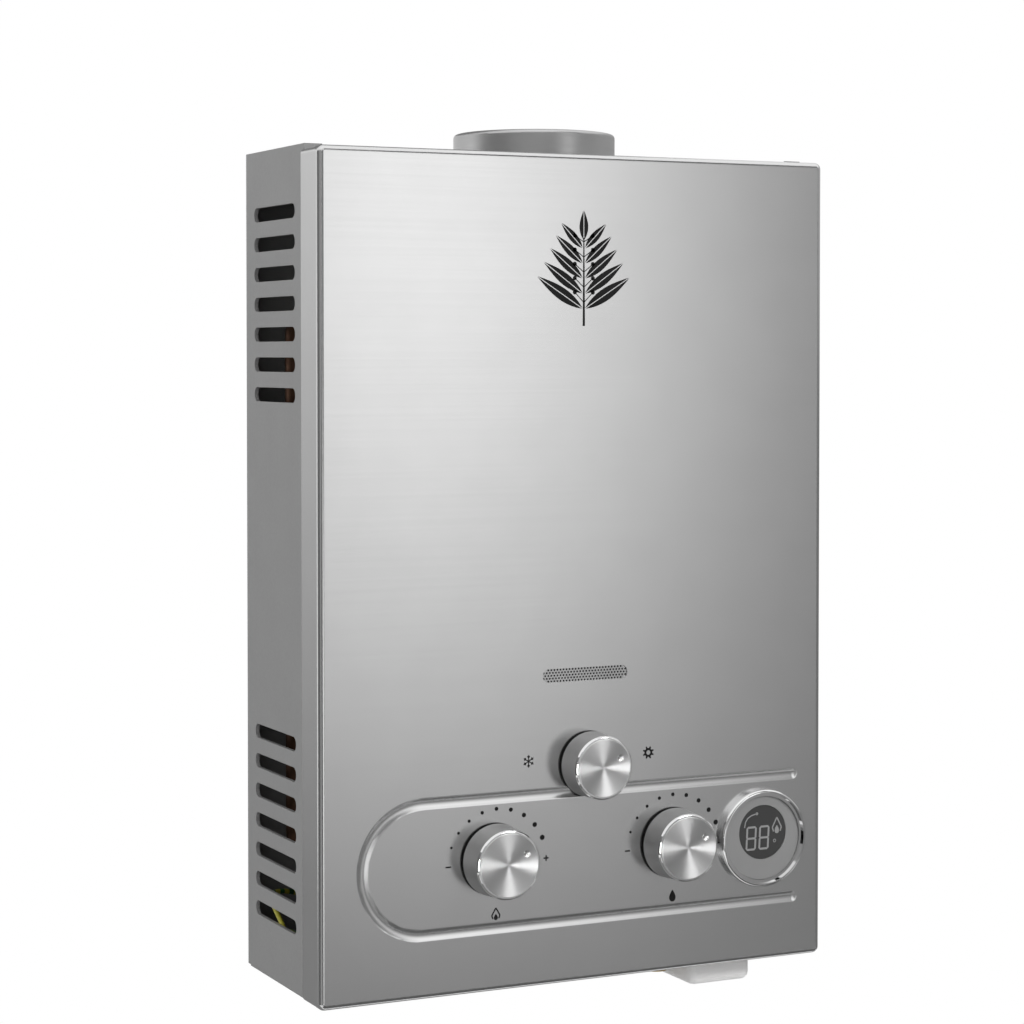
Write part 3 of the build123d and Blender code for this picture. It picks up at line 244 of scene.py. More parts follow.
# Display read-out, placed across and up from the lens's middle
digit_places = ((-6.9 * MM, -3.0 * MM), (1.0 * MM, -3.0 * MM))
digit_width = 5.3 * MM
digit_height = 11.8 * MM
digit_line = 1.05 * MM
digit_lean = 0.05
display_flame_place = (9.0 * MM, 2.8 * MM)
display_flame_size = (8.9 * MM, 5.6 * MM)
spout_points_mm = ((-11.0, 3.0), (-10.4, 6.0), (-9.0, 8.0), (-6.6, 9.3), (-3.6, 10.0))
spout_line = 0.6 * MM
spout_tip = (-3.4 * MM, 10.0 * MM)
spout_tip_radius = 0.8 * MM
degree_place = (7.6 * MM, -5.2 * MM)
degree_inner = 0.6 * MM
degree_outer = 0.95 * MM
small_steps = 14

# Patterns of the finishes, in cycles a metre along each axis
cloud_grain = (35.0, 35.0, 35.0)
front_grain = (5.0, 900.0, 900.0)
spun_grain = (4.0, 4.0, 1500.0)
coarse_grain = (350.0, 350.0, 350.0)
even_grain = (700.0, 700.0, 700.0)
fine_grain = (900.0, 900.0, 900.0)
zinc_cells = (170.0, 170.0, 170.0)
zinc_grain = (600.0, 600.0, 600.0)
track_cells = (420.0, 420.0, 420.0)
earth_bands = (55.0, 55.0, 80.0)
earth_band_edge = 0.45

# Circles across a spun cap, and how far a pattern's middle is stretched and raised
cap_circles = 320.0
cap_circle_detail = 5.0
grain_detail = 6.0
pattern_low = 0.3
pattern_high = 0.7
relief_height = 0.05 * MM


# Materials


def start_material(name):
    """A new material with its nodes, links and main shader."""
    material = bpy.data.materials.new(name)
    material.use_nodes = True
    tree = material.node_tree
    return material, tree.nodes, tree.links, tree.nodes["Principled BSDF"]


def object_noise(nodes, links, scale, detail=4.0, kind="ShaderNodeTexNoise"):
    """A pattern over the piece's own coordinates, with a scale for each axis in cycles a metre."""
    place = nodes.new("ShaderNodeTexCoord")
    mapping = nodes.new("ShaderNodeMapping")
    mapping.inputs["Scale"].default_value = scale
    texture = nodes.new(kind)
    texture.inputs["Scale"].default_value = 1.0
    if "Detail" in texture.inputs:
        texture.inputs["Detail"].default_value = detail
    links.new(place.outputs["Object"], mapping.inputs["Vector"])
    links.new(mapping.outputs["Vector"], texture.inputs["Vector"])
    return texture


def spread(nodes, links, source, low, high, target):
    """Map the middle of a pattern onto a range of numbers."""
    span = nodes.new("ShaderNodeMapRange")
    span.inputs["From Min"].default_value = pattern_low
    span.inputs["From Max"].default_value = pattern_high
    span.inputs["To Min"].default_value = low
    span.inputs["To Max"].default_value = high
    links.new(source, span.inputs["Value"])
    links.new(span.outputs["Result"], target)


def tint(nodes, links, source, dark, light, target):
    """Map the middle of a pattern onto a run of colour."""
    ramp = nodes.new("ShaderNodeValToRGB")
    first, last = ramp.color_ramp.elements
    first.position = pattern_low
    last.position = pattern_high
    first.color = (*dark, 1.0)
    last.color = (*light, 1.0)
    links.new(source, ramp.inputs["Fac"])
    links.new(ramp.outputs["Color"], target)


def roughen(nodes, links, source, strength, shader):
    """Let a pattern raise the surface a little."""
    bump = nodes.new("ShaderNodeBump")
    bump.inputs["Strength"].default_value = strength
    bump.inputs["Distance"].default_value = relief_height
    links.new(source, bump.inputs["Height"])
    links.new(bump.outputs["Normal"], shader.inputs["Normal"])


def plain_finish(name, dark, light, metallic, rough, grain, bump, settings=None):
    """A finish with an uneven tone, an uneven gloss and a fine relief."""
    material, nodes, links, shader = start_material(name)
    shader.inputs["Metallic"].default_value = metallic
    for key, value in (settings or {}).items():
        shader.inputs[key].default_value = value
    cloud = object_noise(nodes, links, cloud_grain)
    fine = object_noise(nodes, links, grain, detail=grain_detail)
    tint(nodes, links, cloud.outputs["Fac"], dark, light, shader.inputs["Base Color"])
    spread(nodes, links, fine.outputs["Fac"], rough[0], rough[1], shader.inputs["Roughness"])
    roughen(nodes, links, fine.outputs["Fac"], bump, shader)
    return material


def grey(value, warmth=0.0):
    return (value * (1.0 + warmth), value, value * (1.0 - warmth))


def galvanised_finish(name):
    """Zinc crystals of uneven tone."""
    material, nodes, links, shader = start_material(name)
    shader.inputs["Metallic"].default_value = 1.0
    cells = object_noise(nodes, links, zinc_cells, kind="ShaderNodeTexVoronoi")
    fine = object_noise(nodes, links, zinc_grain)
    split = nodes.new("ShaderNodeSeparateColor")
    links.new(cells.outputs["Color"], split.inputs["Color"])
    tint(nodes, links, split.outputs["Red"], grey(0.32), grey(0.45), shader.inputs["Base Color"])
    spread(nodes, links, split.outputs["Green"], 0.34, 0.52, shader.inputs["Roughness"])
    roughen(nodes, links, fine.outputs["Fac"], 0.1, shader)
    return material


def spun_cap_finish(name):
    """A face turned in fine circles about its own middle, which shines in rays."""
    material, nodes, links, shader = start_material(name)
    shader.inputs["Metallic"].default_value = 1.0
    shader.inputs["Anisotropic"].default_value = 0.95
    shader.inputs["Anisotropic Rotation"].default_value = 0.25
    place = nodes.new("ShaderNodeTexCoord")
    middle = nodes.new("ShaderNodeVectorMath")
    middle.operation = "SUBTRACT"
    middle.inputs[1].default_value = (0.5, 0.5, 0.5)
    flatten = nodes.new("ShaderNodeVectorMath")
    flatten.operation = "MULTIPLY"
    flatten.inputs[1].default_value = (1.0, 0.0, 1.0)
    radius = nodes.new("ShaderNodeVectorMath")
    radius.operation = "LENGTH"
    rings = nodes.new("ShaderNodeTexNoise")
    rings.noise_dimensions = "1D"
    rings.inputs["Scale"].default_value = cap_circles
    rings.inputs["Detail"].default_value = cap_circle_detail
    turned = nodes.new("ShaderNodeTangent")
    turned.direction_type = "RADIAL"
    turned.axis = "Y"
    links.new(place.outputs["Generated"], middle.inputs[0])
    links.new(middle.outputs["Vector"], flatten.inputs[0])
    links.new(flatten.outputs["Vector"], radius.inputs[0])
    links.new(radius.outputs["Value"], rings.inputs["W"])
    links.new(turned.outputs["Tangent"], shader.inputs["Tangent"])
    tint(nodes, links, rings.outputs["Fac"], grey(0.68), grey(0.72), shader.inputs["Base Color"])
    spread(nodes, links, rings.outputs["Fac"], 0.40, 0.43, shader.inputs["Roughness"])
    return material


def earth_lead_finish(name):
    """Green insulation with a yellow band that winds along the lead."""
    material, nodes, links, shader = start_material(name)
    wave = object_noise(nodes, links, earth_bands, kind="ShaderNodeTexWave")
    band = nodes.new("ShaderNodeValToRGB")
    band.color_ramp.interpolation = "CONSTANT"
    green, yellow = band.color_ramp.elements
    green.color = (0.02, 0.12, 0.03, 1.0)
    yellow.position = earth_band_edge
    yellow.color = (0.40, 0.37, 0.04, 1.0)
    fine = object_noise(nodes, links, fine_grain)
    links.new(wave.outputs["Fac"], band.inputs["Fac"])
    links.new(band.outputs["Color"], shader.inputs["Base Color"])
    spread(nodes, links, fine.outputs["Fac"], 0.38, 0.5, shader.inputs["Roughness"])
    return material


def board_finish(name):
    """Solder resist over copper tracks."""
    material, nodes, links, shader = start_material(name)
    tracks = object_noise(nodes, links, track_cells, kind="ShaderNodeTexVoronoi")
    tracks.distance = "MANHATTAN"
    fine = object_noise(nodes, links, fine_grain)
    dark, light = (0.02, 0.14, 0.05), (0.05, 0.26, 0.10)
    tint(nodes, links, tracks.outputs["Distance"], dark, light, shader.inputs["Base Color"])
    spread(nodes, links, fine.outputs["Fac"], 0.25, 0.4, shader.inputs["Roughness"])
    return material


# Dark and light tone, metallic share, range of roughness, grain, relief and any other settings
plain_looks = {
    "brushed_front": (grey(0.69), grey(0.71), 1.0, (0.20, 0.215), front_grain, 0.012),
    "casing_grey": (grey(0.27), grey(0.285), 0.0, (0.42, 0.52), even_grain, 0.05),
    "bright_steel": (grey(0.55), grey(0.66), 1.0, (0.22, 0.34), even_grain, 0.04),
    "mica": (grey(0.03), grey(0.06), 0.0, (0.12, 0.22), coarse_grain, 0.04, {"Transmission Weight": 0.6}),
    "collar_steel": (grey(0.52), grey(0.60), 1.0, (0.30, 0.42), spun_grain, 0.12, {"Anisotropic": 0.4}),
    # knob_black: black plastic of the knob cores and the printed marks; the black ring at each core's foot
    # also stands in for the shadow line between knob and panel, painted shade
    "knob_black": (grey(0.008), grey(0.014), 0.0, (0.5, 0.65), even_grain, 0.1, {"Specular IOR Level": 0.15}),
    "knob_sleeve_metal": (grey(0.46), grey(0.52), 1.0, (0.36, 0.44), even_grain, 0.03),
    "brass": ((0.56, 0.40, 0.17), (0.74, 0.56, 0.28), 1.0, (0.24, 0.42), even_grain, 0.08),
    "bezel_chrome": (grey(0.78), grey(0.84), 1.0, (0.05, 0.09), coarse_grain, 0.01),
    "display_grey": (grey(0.245), grey(0.265), 0.0, (0.34, 0.44), even_grain, 0.05),
    "display_dark": (grey(0.04), grey(0.05), 0.0, (0.10, 0.16), coarse_grain, 0.01, {"Coat Weight": 0.3}),
    "battery_white": (grey(0.72), grey(0.80), 0.0, (0.4, 0.55), even_grain, 0.08),
    "lid_pale": (grey(0.89, 0.006), grey(0.92, 0.006), 0.0, (0.30, 0.42), even_grain, 0.05),
    "cell_jacket": (grey(0.04), grey(0.075), 0.0, (0.22, 0.36), coarse_grain, 0.04),
    "black_rubber": (grey(0.02), grey(0.04), 0.0, (0.6, 0.8), even_grain, 0.2),
    # copper: far darker than bare copper, painted shade for the pipes deep inside the casing
    "copper": ((0.075, 0.04, 0.026), (0.12, 0.065, 0.042), 1.0, (0.38, 0.58), coarse_grain, 0.06),
    "cast_alloy": (grey(0.46), grey(0.60), 1.0, (0.42, 0.6), coarse_grain, 0.3),
    "burner_steel": (grey(0.42), grey(0.56), 1.0, (0.3, 0.45), even_grain, 0.06),
    "coil_case": (grey(0.20), grey(0.27), 0.0, (0.35, 0.5), even_grain, 0.1),
    "black_plastic": (grey(0.02), grey(0.035), 0.0, (0.4, 0.6), even_grain, 0.12),
    "porcelain": (
        grey(0.74, 0.03), grey(0.82, 0.02), 0.0, (0.12, 0.22), coarse_grain, 0.03, {"Coat Weight": 0.4}
    ),
    "lead_white": (grey(0.62, 0.03), grey(0.72, 0.03), 0.0, (0.45, 0.6), even_grain, 0.1),
}
special_finishes = {
    "galvanised": galvanised_finish,
    "knob_cap_metal": spun_cap_finish,
    "board_green": board_finish,
    "lead_earth": earth_lead_finish,
}
materials = {name: plain_finish(name, *look) for name, look in plain_looks.items()}
for name, finish in special_finishes.items():
    materials[name] = finish(name)

for part in frame["record"]["subparts"]:
    for holder in frame["nodes"][part["node"]].material_slots:
        holder.material = materials[part["material_slot"]]


# Mesh helpers


def add_piece(name, mesh_data, body, slot, smooth=None):
    """Turn mesh data into a piece that rides on a body; smooth is the angle above which edges stay sharp."""
    mesh = bpy.data.meshes.new(name)
    bmesh.ops.recalc_face_normals(mesh_data, faces=mesh_data.faces)
    mesh_data.to_mesh(mesh)
    mesh_data.free()
    if smooth is not None:
        mesh.shade_smooth()
        mesh.set_sharp_from_angle(angle=smooth)
    mesh.materials.append(materials[slot])
    piece = bpy.data.objects.new(name, mesh)
    bpy.context.scene.collection.objects.link(piece)
    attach(piece, body)
    return piece


def join_rings(mesh_data, rings, first_closed=True, last_closed=True):
    """Faces between rings of equally many points, with the end rings filled."""
    count = len(rings[0])
    for low, high in zip(rings, rings[1:]):
        for i in range(count):
            j = (i + 1) % count
            mesh_data.faces.new((low[i], low[j], high[j], high[i]))
    if first_closed:
        mesh_data.faces.new(rings[0])
    if last_closed:
        mesh_data.faces.new(rings[-1])


def unit_circle(count):
    """The cosine and the sine of equal steps round a circle."""
    return [(cos(tau * i / count), sin(tau * i / count)) for i in range(count)]


def turned_rings(data, x, z, profile, count):
    """Rings round an axis along Y, one for each radius and place in the profile."""
    circle = unit_circle(count)
    return [[data.verts.new((x + radius * c, y, z + radius * s)) for c, s in circle] for radius, y in profile]


def level_ring(data, x, y, radius, z, count):
    """A ring round an axis along Z."""
    return [data.verts.new((x + radius * c, y + radius * s, z)) for c, s in unit_circle(count)]


def part_way(first, last, share):
    return first + (last - first) * share


def middle_of(node):
    low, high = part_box(node)
    return (low + high) / 2


# Knurled knob sleeves


def wave_ridge(turns):
    """A ridge that rises from 0 to 1 and falls back once a turn."""
    part = turns - floor(turns)
    return 1.0 - abs(2.0 * part - 1.0)


def knurl_row(data, centre, radius, y, row, count):
    """One ring of a diamond knurl; rows further along shift its two sets of ridges apart."""
    points = []
    for i, (c, s) in enumerate(unit_circle(count)):
        height = min(wave_ridge((i + row) / knurl_samples), wave_ridge((i - row) / knurl_samples))
        reach = radius - knurl_depth * (1.0 - height)
        points.append(data.verts.new((centre.x + reach * c, y, centre.z + reach * s)))
    return points


def knurled_sleeve(name):
    """The sleeve of a knob, with a diamond knurl on its side, and the polished ring round its front."""
    sleeve_low, sleeve_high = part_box(f"{name}_knob_sleeve")
    cap_low, cap_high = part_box(f"{name}_knob_cap")
    core_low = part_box(f"{name}_knob_core")[0]
    centre = middle_of(f"{name}_knob_sleeve")
    base_radius = (sleeve_high.x - sleeve_low.x) / 2
    cap_radius = (cap_high.x - cap_low.x) / 2 + cap_fit
    face_radius = cap_radius + cap_rim
    rim_radius = face_radius + knob_band
    back_y = sleeve_high.y
    face_y = sleeve_low.y
    skin_y = face_y + polish_skin
    bevel_y = cap_low.y + knob_chamfer
    foot_y = back_y - knurl_foot
    top_y = bevel_y + knurl_top
    steps = knurl_count * knurl_samples
    diamond = tau * base_radius / knurl_count
    rows = knurl_samples * round((foot_y - top_y) / diamond)

    sleeve = bmesh.new()
    back = [
        (face_radius - knob_wall, core_low.y),
        (face_radius - knob_wall, back_y),
        (base_radius, back_y),
    ]
    rings = turned_rings(sleeve, centre.x, centre.z, back, steps)
    for row in range(rows + 1):
        y = part_way(foot_y, top_y, row / rows)
        radius = part_way(base_radius, rim_radius, (back_y - y) / (back_y - bevel_y))
        rings.append(knurl_row(sleeve, centre, radius, y, row, steps))
    front = [
        (rim_radius + band_swell, top_y - band_lead),
        (rim_radius, bevel_y),
        (rim_radius - polish_skin, bevel_y),
        (face_radius - polish_skin, skin_y),
        (cap_radius + polish_skin, skin_y),
        (cap_radius + polish_skin, cap_high.y),
    ]
    rings += turned_rings(sleeve, centre.x, centre.z, front, steps)
    join_rings(sleeve, rings)
    piece = add_piece(f"{name}_knurled_sleeve", sleeve, f"{name}_control", "knob_sleeve_metal", sleeve_smooth)
    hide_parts(f"{name}_knob_sleeve")

    polish = bmesh.new()
    outline = [
        (rim_radius - polish_skin, bevel_y),
        (rim_radius, bevel_y),
        (face_radius + bevel_break, face_y + bevel_break),
        (face_radius - face_break, face_y),
        (cap_radius, face_y),
        (cap_radius, cap_high.y),
        (cap_radius + polish_skin, cap_high.y),
        (cap_radius + polish_skin, skin_y),
        (face_radius - polish_skin, skin_y),
    ]
    rings = turned_rings(polish, centre.x, centre.z, outline, steps)
    join_rings(polish, rings + rings[:1], False, False)
    add_piece(f"{name}_bevel_ring", polish, f"{name}_control", "bezel_chrome", bevel_smooth)


for knob in knobs:
    knurled_sleeve(knob)


# Spun knob caps


def spun_cap(name):
    """The cap of a knob: a shallow cone sunk towards its middle, with a round pointer dimple."""
    low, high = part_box(f"{name}_knob_cap")
    centre = middle_of(f"{name}_knob_cap")
    reach = (high.x - low.x) / 2
    pointer = (reach * pointer_share * cos(pointer_angle), reach * pointer_share * sin(pointer_angle))
    ball = (pointer_round**2 + pointer_depth**2) / (2 * pointer_depth)
    circle = unit_circle(cap_steps)
    data = bmesh.new()

    def face_point(across, up):
        depth = cap_dish * (1.0 - hypot(across, up) / (reach - cap_bevel))
        off = hypot(across - pointer[0], up - pointer[1])
        if off < pointer_round:
            depth += sqrt(ball**2 - off**2) - (ball - pointer_depth)
        return data.verts.new((centre.x + across, low.y + depth, centre.z + up))

    side = [(reach, high.y), (reach, low.y + cap_bevel)]
    rings = turned_rings(data, centre.x, centre.z, side, cap_steps)
    for i in range(cap_rings):
        radius = (reach - cap_bevel) * (1.0 - i / cap_rings)
        rings.append([face_point(radius * c, radius * s) for c, s in circle])
    join_rings(data, rings)
    piece = add_piece(f"{name}_spun_cap", data, f"{name}_control", "knob_cap_metal", cap_smooth)
    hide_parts(f"{name}_knob_cap")


def pointer_cup(name):
    """The polished cup that marks where a knob points."""
    low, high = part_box(f"{name}_knob_cap")
    centre = middle_of(f"{name}_knob_cap")
    reach = (high.x - low.x) / 2 * pointer_share
    x = centre.x + reach * cos(pointer_angle)
    z = centre.z + reach * sin(pointer_angle)
    sunk = low.y + cap_dish * (1.0 - pointer_share)
    profile = [(pointer_round, sunk + pointer_back), (pointer_round, sunk - pointer_lip)]
    for i in range(cup_rings):
        share = cup_mouth * (1.0 - i / cup_rings)
        profile.append((pointer_round * share, sunk + (pointer_depth * (1.0 - share**2) - pointer_lip)))
    data = bmesh.new()
    join_rings(data, turned_rings(data, x, z, profile, cup_steps))
    add_piece(f"{name}_pointer_cup", data, f"{name}_control", "bezel_chrome", cup_smooth)


for knob in knobs:
    spun_cap(knob)
    pointer_cup(knob)


# Cover screws


def cross_outline(reach, half):
    """The corners of a plus sign, in order."""
    quarter = [(reach, -half), (reach, half), (half, half)]
    corners = []
    for _ in range(4):
        corners += quarter
        quarter = [(-y, x) for x, y in quarter]
    return corners


def cross_screw(data, x, y, head_low, head_high, tip, head_radius):
    """A pan head screw that looks down, with a cross recess in its head."""

    def ring(radius, z):
        return level_ring(data, x, y, radius, z, screw_steps)

    def cross(scale, z):
        corners = cross_outline(recess_reach * scale, recess_width / 2 * scale)
        return [data.verts.new((x + a, y + b, z)) for a, b in corners]

    head_height = head_high - head_low
    crown = ring(head_radius * head_crown, head_low)
    sides = [ring(screw_shank, tip), ring(screw_shank, head_high), ring(head_radius, head_high)]
    sides += [ring(head_radius * across, head_low + head_height * up) for across, up in head_round]
    join_rings(data, sides + [crown], True, False)
    mouth = cross(1.0, head_low)
    well = cross(recess_taper, head_low + recess_depth)
    join_rings(data, [mouth, well], False, True)
    rims = []
    for loop in (crown, mouth):
        rims += [data.edges.get((a, b)) for a, b in zip(loop, loop[1:] + loop[:1])]
    bmesh.ops.triangle_fill(data, use_beauty=True, edges=rims)


def cover_screws():
    low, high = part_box("cover_screws")
    cover_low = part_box("front_cover")[0].z
    head_radius = (high.y - low.y) / 2
    data = bmesh.new()
    for x in (low.x + head_radius, high.x - head_radius):
        cross_screw(data, x, (low.y + high.y) / 2, low.z, cover_low, high.z, head_radius)
    piece = add_piece("cover_screws_crossed", data, "casing", "bright_steel", screw_smooth)
    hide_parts("cover_screws")


cover_screws()


# Printed marks

front_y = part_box("front_cover")[0].y


def raise_shape(data, outline, face_y):
    """A flat shape, given as points across and up, raised a little from a face."""
    back = [data.verts.new((x, face_y + print_sink, z)) for x, z in outline]
    front = [data.verts.new((x, face_y - print_proud, z)) for x, z in outline]
    join_rings(data, [back, front])


def print_piece(name, outlines, face_y, slot):
    data = bmesh.new()
    for outline in outlines:
        raise_shape(data, outline, face_y)
    add_piece(name, data, "casing", slot)


def disc(x, z, radius, count=20):
    return [(x + radius * c, z + radius * s) for c, s in unit_circle(count)]


def ring_band(x, z, inner, outer, count=24):
    """A flat ring as a run of four-sided shapes."""
    shapes = []
    for i in range(count):
        a, b = tau * i / count, tau * (i + 1) / count
        shapes.append([
            (x + inner * cos(a), z + inner * sin(a)),
            (x + outer * cos(a), z + outer * sin(a)),
            (x + outer * cos(b), z + outer * sin(b)),
            (x + inner * cos(b), z + inner * sin(b)),
        ])
    return shapes


def stroke(start, end, width, width_end=None):
    """A straight stroke between two points, which may narrow along its way."""
    run = Vector((end[0] - start[0], end[1] - start[1]))
    side = Vector((-run.y, run.x)).normalized()
    first = width / 2
    last = (width if width_end is None else width_end) / 2
    return [
        (start[0] + side.x * first, start[1] + side.y * first),
        (start[0] - side.x * first, start[1] - side.y * first),
        (end[0] - side.x * last, end[1] - side.y * last),
        (end[0] + side.x * last, end[1] + side.y * last),
    ]


def dial_marks(name, x, z, radius):
    """A run of dots that grow clockwise, with a minus and a plus at its ends."""
    outlines = []
    for i in range(dial_dots):
        share = i / (dial_dots - 1)
        angle = part_way(dial_first, dial_last, share)
        size = part_way(dot_first, dot_last, share)
        outlines.append(disc(x + radius * cos(angle), z + radius * sin(angle), size / 2))
    minus_x, plus_x = x - radius, x + radius
    for sign_x in (minus_x, plus_x):
        outlines.append(stroke((sign_x - sign_arm, z), (sign_x + sign_arm, z), sign_line))
    outlines.append(stroke((plus_x, z + sign_line / 2), (plus_x, z + sign_arm), sign_line))
    outlines.append(stroke((plus_x, z - sign_line / 2), (plus_x, z - sign_arm), sign_line))
    print_piece(f"{name}_dial_marks", outlines, front_y, "knob_black")


dial_marks("gas", *gas_dial)
dial_marks("water", *water_dial)


def snowflake(x, z):
    fork = snow_reach * snow_fork
    twig = snow_reach * snow_twig
    outlines = []
    for arm in range(snow_arms):
        angle = pi / 2 + arm * tau / snow_arms
        hub = (x + snow_line * cos(angle), z + snow_line * sin(angle))
        tip = (x + snow_reach * cos(angle), z + snow_reach * sin(angle))
        outlines.append(stroke(hub, tip, snow_line))
        root = (x + fork * cos(angle), z + fork * sin(angle))
        for turn in (-1, 1):
            lean = angle + turn * snow_lean
            twig_tip = (root[0] + twig * cos(lean), root[1] + twig * sin(lean))
            outlines.append(stroke(root, twig_tip, snow_line))
    outlines.append(disc(x, z, snow_line * snow_hub, snow_hub_steps))
    return outlines


def sun(x, z):
    root = sun_outer * ray_root
    outlines = ring_band(x, z, sun_inner, sun_outer)
    for ray in range(sun_rays):
        angle = ray * tau / sun_rays + tau / (2 * sun_rays)
        start = (x + root * cos(angle), z + root * sin(angle))
        end = (x + sun_reach * cos(angle), z + sun_reach * sin(angle))
        outlines.append(stroke(start, end, ray_base, ray_tip))
    return outlines


print_piece("winter_mark", snowflake(*winter_place), front_y, "knob_black")
print_piece("summer_mark", sun(*summer_place), front_y, "knob_black")


def drop(x, z, height, width):
    """A water drop with its point up, middled on its height."""
    outline = []
    for i in range(drop_steps):
        turn = tau * i / drop_steps
        outline.append((x + width / 2 * sin(turn) * sin(turn / 2), z + height / 2 * cos(turn)))
    return outline


def flame(x, z, height, width):
    """An open flame: two leaning strokes that meet at the tip, over a small drop."""
    tip = (x, z + height / 2)
    foot_z = z - height * flame_foot
    outlines = []
    for side in (-1, 1):
        elbow = (x + side * width / 2, z - height * flame_shoulder)
        outlines.append(stroke(tip, elbow, flame_line))
        outlines.append(stroke(elbow, (x + side * width * flame_foot_width, foot_z), flame_line))
    drop_z = z - height * flame_drop_fall
    outlines.append(drop(x, drop_z, height * flame_drop_height, width * flame_drop_width))
    return outlines


print_piece("gas_mark", flame(*gas_mark_place, *gas_mark_size), front_y, "knob_black")
print_piece("water_mark", [drop(*water_mark_place, *water_mark_size)], front_y, "knob_black")


def half_leaf(base, angle, length, width, side):
    """One half of an almond leaf, beside its vein."""
    along = Vector((cos(angle), sin(angle)))
    across = Vector((-along.y, along.x)) * side

    def point(share, off):
        return (base[0] + along.x * length * share + across.x * off,
                base[1] + along.y * length * share + across.y * off)

    shares = [i / leaf_steps for i in range(leaf_steps + 1)]
    outline = [point(share, leaf_vein + width * sin(pi * share**leaf_skew)) for share in shares]
    outline += [point(share, leaf_vein) for share in reversed(shares[1:-1])]
    return outline


def whole_leaf(base, angle, length, width):
    return [half_leaf(base, angle, length, width, side) for side in (-1, 1)]


def sprig(x, low, high):
    """A leafy sprig: a stem with pairs of almond leaves, a leaf at the tip and small berries."""
    outlines = [stroke((x, low), (x, high - stem_short), *stem_widths)]
    for pair in range(leaf_pairs):
        share = pair / (leaf_pairs - 1)
        z = part_way(low + leaf_start, high - leaf_end, share)
        length = part_way(*leaf_lengths, share)
        width = part_way(*leaf_widths, share)
        for side in (-1, 1):
            angle = pi / 2 - side * part_way(*leaf_leans, share)
            outlines += whole_leaf((x + side * leaf_root, z), angle, length, width)
            berry = (x + side * stalk_reach, z + part_way(*stalk_rises, share))
            outlines.append(stroke((x, z + stalk_root), berry, stalk_line))
            outlines.append(disc(*berry, berry_radius, berry_steps))
    outlines += whole_leaf((x, high - tip_leaf_length), pi / 2, tip_leaf_length, tip_leaf_width)
    return outlines


print_piece("front_sprig_print", sprig(sprig_x, sprig_low, sprig_high), front_y, "knob_black")


# Display read-out


def segment(start, end, width):
    """A bar with pointed ends."""
    run = Vector((end[0] - start[0], end[1] - start[1])).normalized()
    side = Vector((-run.y, run.x)) * width / 2
    tip = run * width / 2
    return [
        (start[0], start[1]),
        (start[0] + tip.x + side.x, start[1] + tip.y + side.y),
        (end[0] - tip.x + side.x, end[1] - tip.y + side.y),
        (end[0], end[1]),
        (end[0] - tip.x - side.x, end[1] - tip.y - side.y),
        (start[0] + tip.x - side.x, start[1] + tip.y - side.y),
    ]


def seven_segments(x, z):
    """The seven bars of a digit, leaning to the right."""
    left, right = -digit_width / 2, digit_width / 2
    bars = []
    for level in (-digit_height / 2, 0.0, digit_height / 2):
        bars.append(((left, level), (right, level)))
    for low, high in ((-digit_height / 2, 0.0), (0.0, digit_height / 2)):
        for across in (left, right):
            bars.append(((across, low), (across, high)))
    shapes = []
    for bar in bars:
        start, end = [(x + a + digit_lean * b, z + b) for a, b in bar]
        shapes.append(segment(start, end, digit_line))
    return shapes


def read_out():
    """Two digits with every bar lit, a flame, a tap and a degree ring."""
    middle = middle_of("display_lens")

    def on_lens(place):
        return (middle.x + place[0], middle.z + place[1])

    shapes = []
    for place in digit_places:
        shapes += seven_segments(*on_lens(place))
    shapes += flame(*on_lens(display_flame_place), *display_flame_size)
    spout = [on_lens((across * MM, up * MM)) for across, up in spout_points_mm]
    for start, end in zip(spout, spout[1:]):
        shapes.append(stroke(start, end, spout_line))
    shapes.append(disc(*on_lens(spout_tip), spout_tip_radius, small_steps))
    shapes += ring_band(*on_lens(degree_place), degree_inner, degree_outer, small_steps)
    return shapes


lens_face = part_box("display_lens")[0].y
print_piece("display_read_out", read_out(), lens_face, "casing_grey")


# Threaded stubs


def threaded_sleeve(data, centre, low_z, high_z, crest):
    """A pipe end with a helical thread outside and a plain bore."""
    rows = round((high_z - low_z) / thread_pitch * thread_rows_a_turn)
    circle = unit_circle(thread_steps)

    def plain(radius, z):
        return level_ring(data, centre.x, centre.y, radius, z, thread_steps)

    rings = [plain(thread_bore, high_z), plain(crest - thread_depth, high_z)]
    for row in range(1, rows):
        z = high_z + (low_z - high_z) * row / rows
        runout = min(1.0, (z - low_z) / thread_pitch, (high_z - z) / thread_pitch)
        points = []
        for i, (c, s) in enumerate(circle):
            ridge = wave_ridge(z / thread_pitch - i / thread_steps)
            ridge = min(1.0, max(0.0, ridge * thread_gain - thread_flat)) * runout
            radius = crest - thread_depth * (1.0 - ridge)
            points.append(data.verts.new((centre.x + radius * c, centre.y + radius * s, z)))
        rings.append(points)
    rings.append(plain(crest - thread_depth, low_z))
    rings.append(plain(thread_bore, low_z))
    join_rings(data, rings + rings[:1], False, False)


def threaded_stub(node, mount, slot):
    """A pipe as in the frame, with a brass end whose thread is cut over the length of its mount."""
    place = next(m for m in frame["record"]["mounts"] if m["name"] == mount)
    centre = Vector(place["pos_m"])
    half = place["dims"]["length_mm"] * MM / 2
    crest = place["dims"]["r_mm"] * MM
    data = bmesh.new()
    data.from_mesh(frame["nodes"][node].data)
    cut = bmesh.ops.bisect_plane(
        data,
        geom=data.verts[:] + data.edges[:] + data.faces[:],
        plane_co=(0.0, 0.0, centre.z + half),
        plane_no=(0.0, 0.0, -1.0),
        clear_outer=True,
    )
    edges = [e for e in cut["geom_cut"] if isinstance(e, bmesh.types.BMEdge)]
    bmesh.ops.triangle_fill(data, use_beauty=True, edges=edges)
    piece = add_piece(f"{node}_trimmed", data, "casing", slot, pipe_smooth)
    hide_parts(node)
    data = bmesh.new()
    threaded_sleeve(data, centre, centre.z - half, centre.z + half, crest)
    add_piece(f"{node}_threaded", data, "casing", "brass", pipe_smooth)


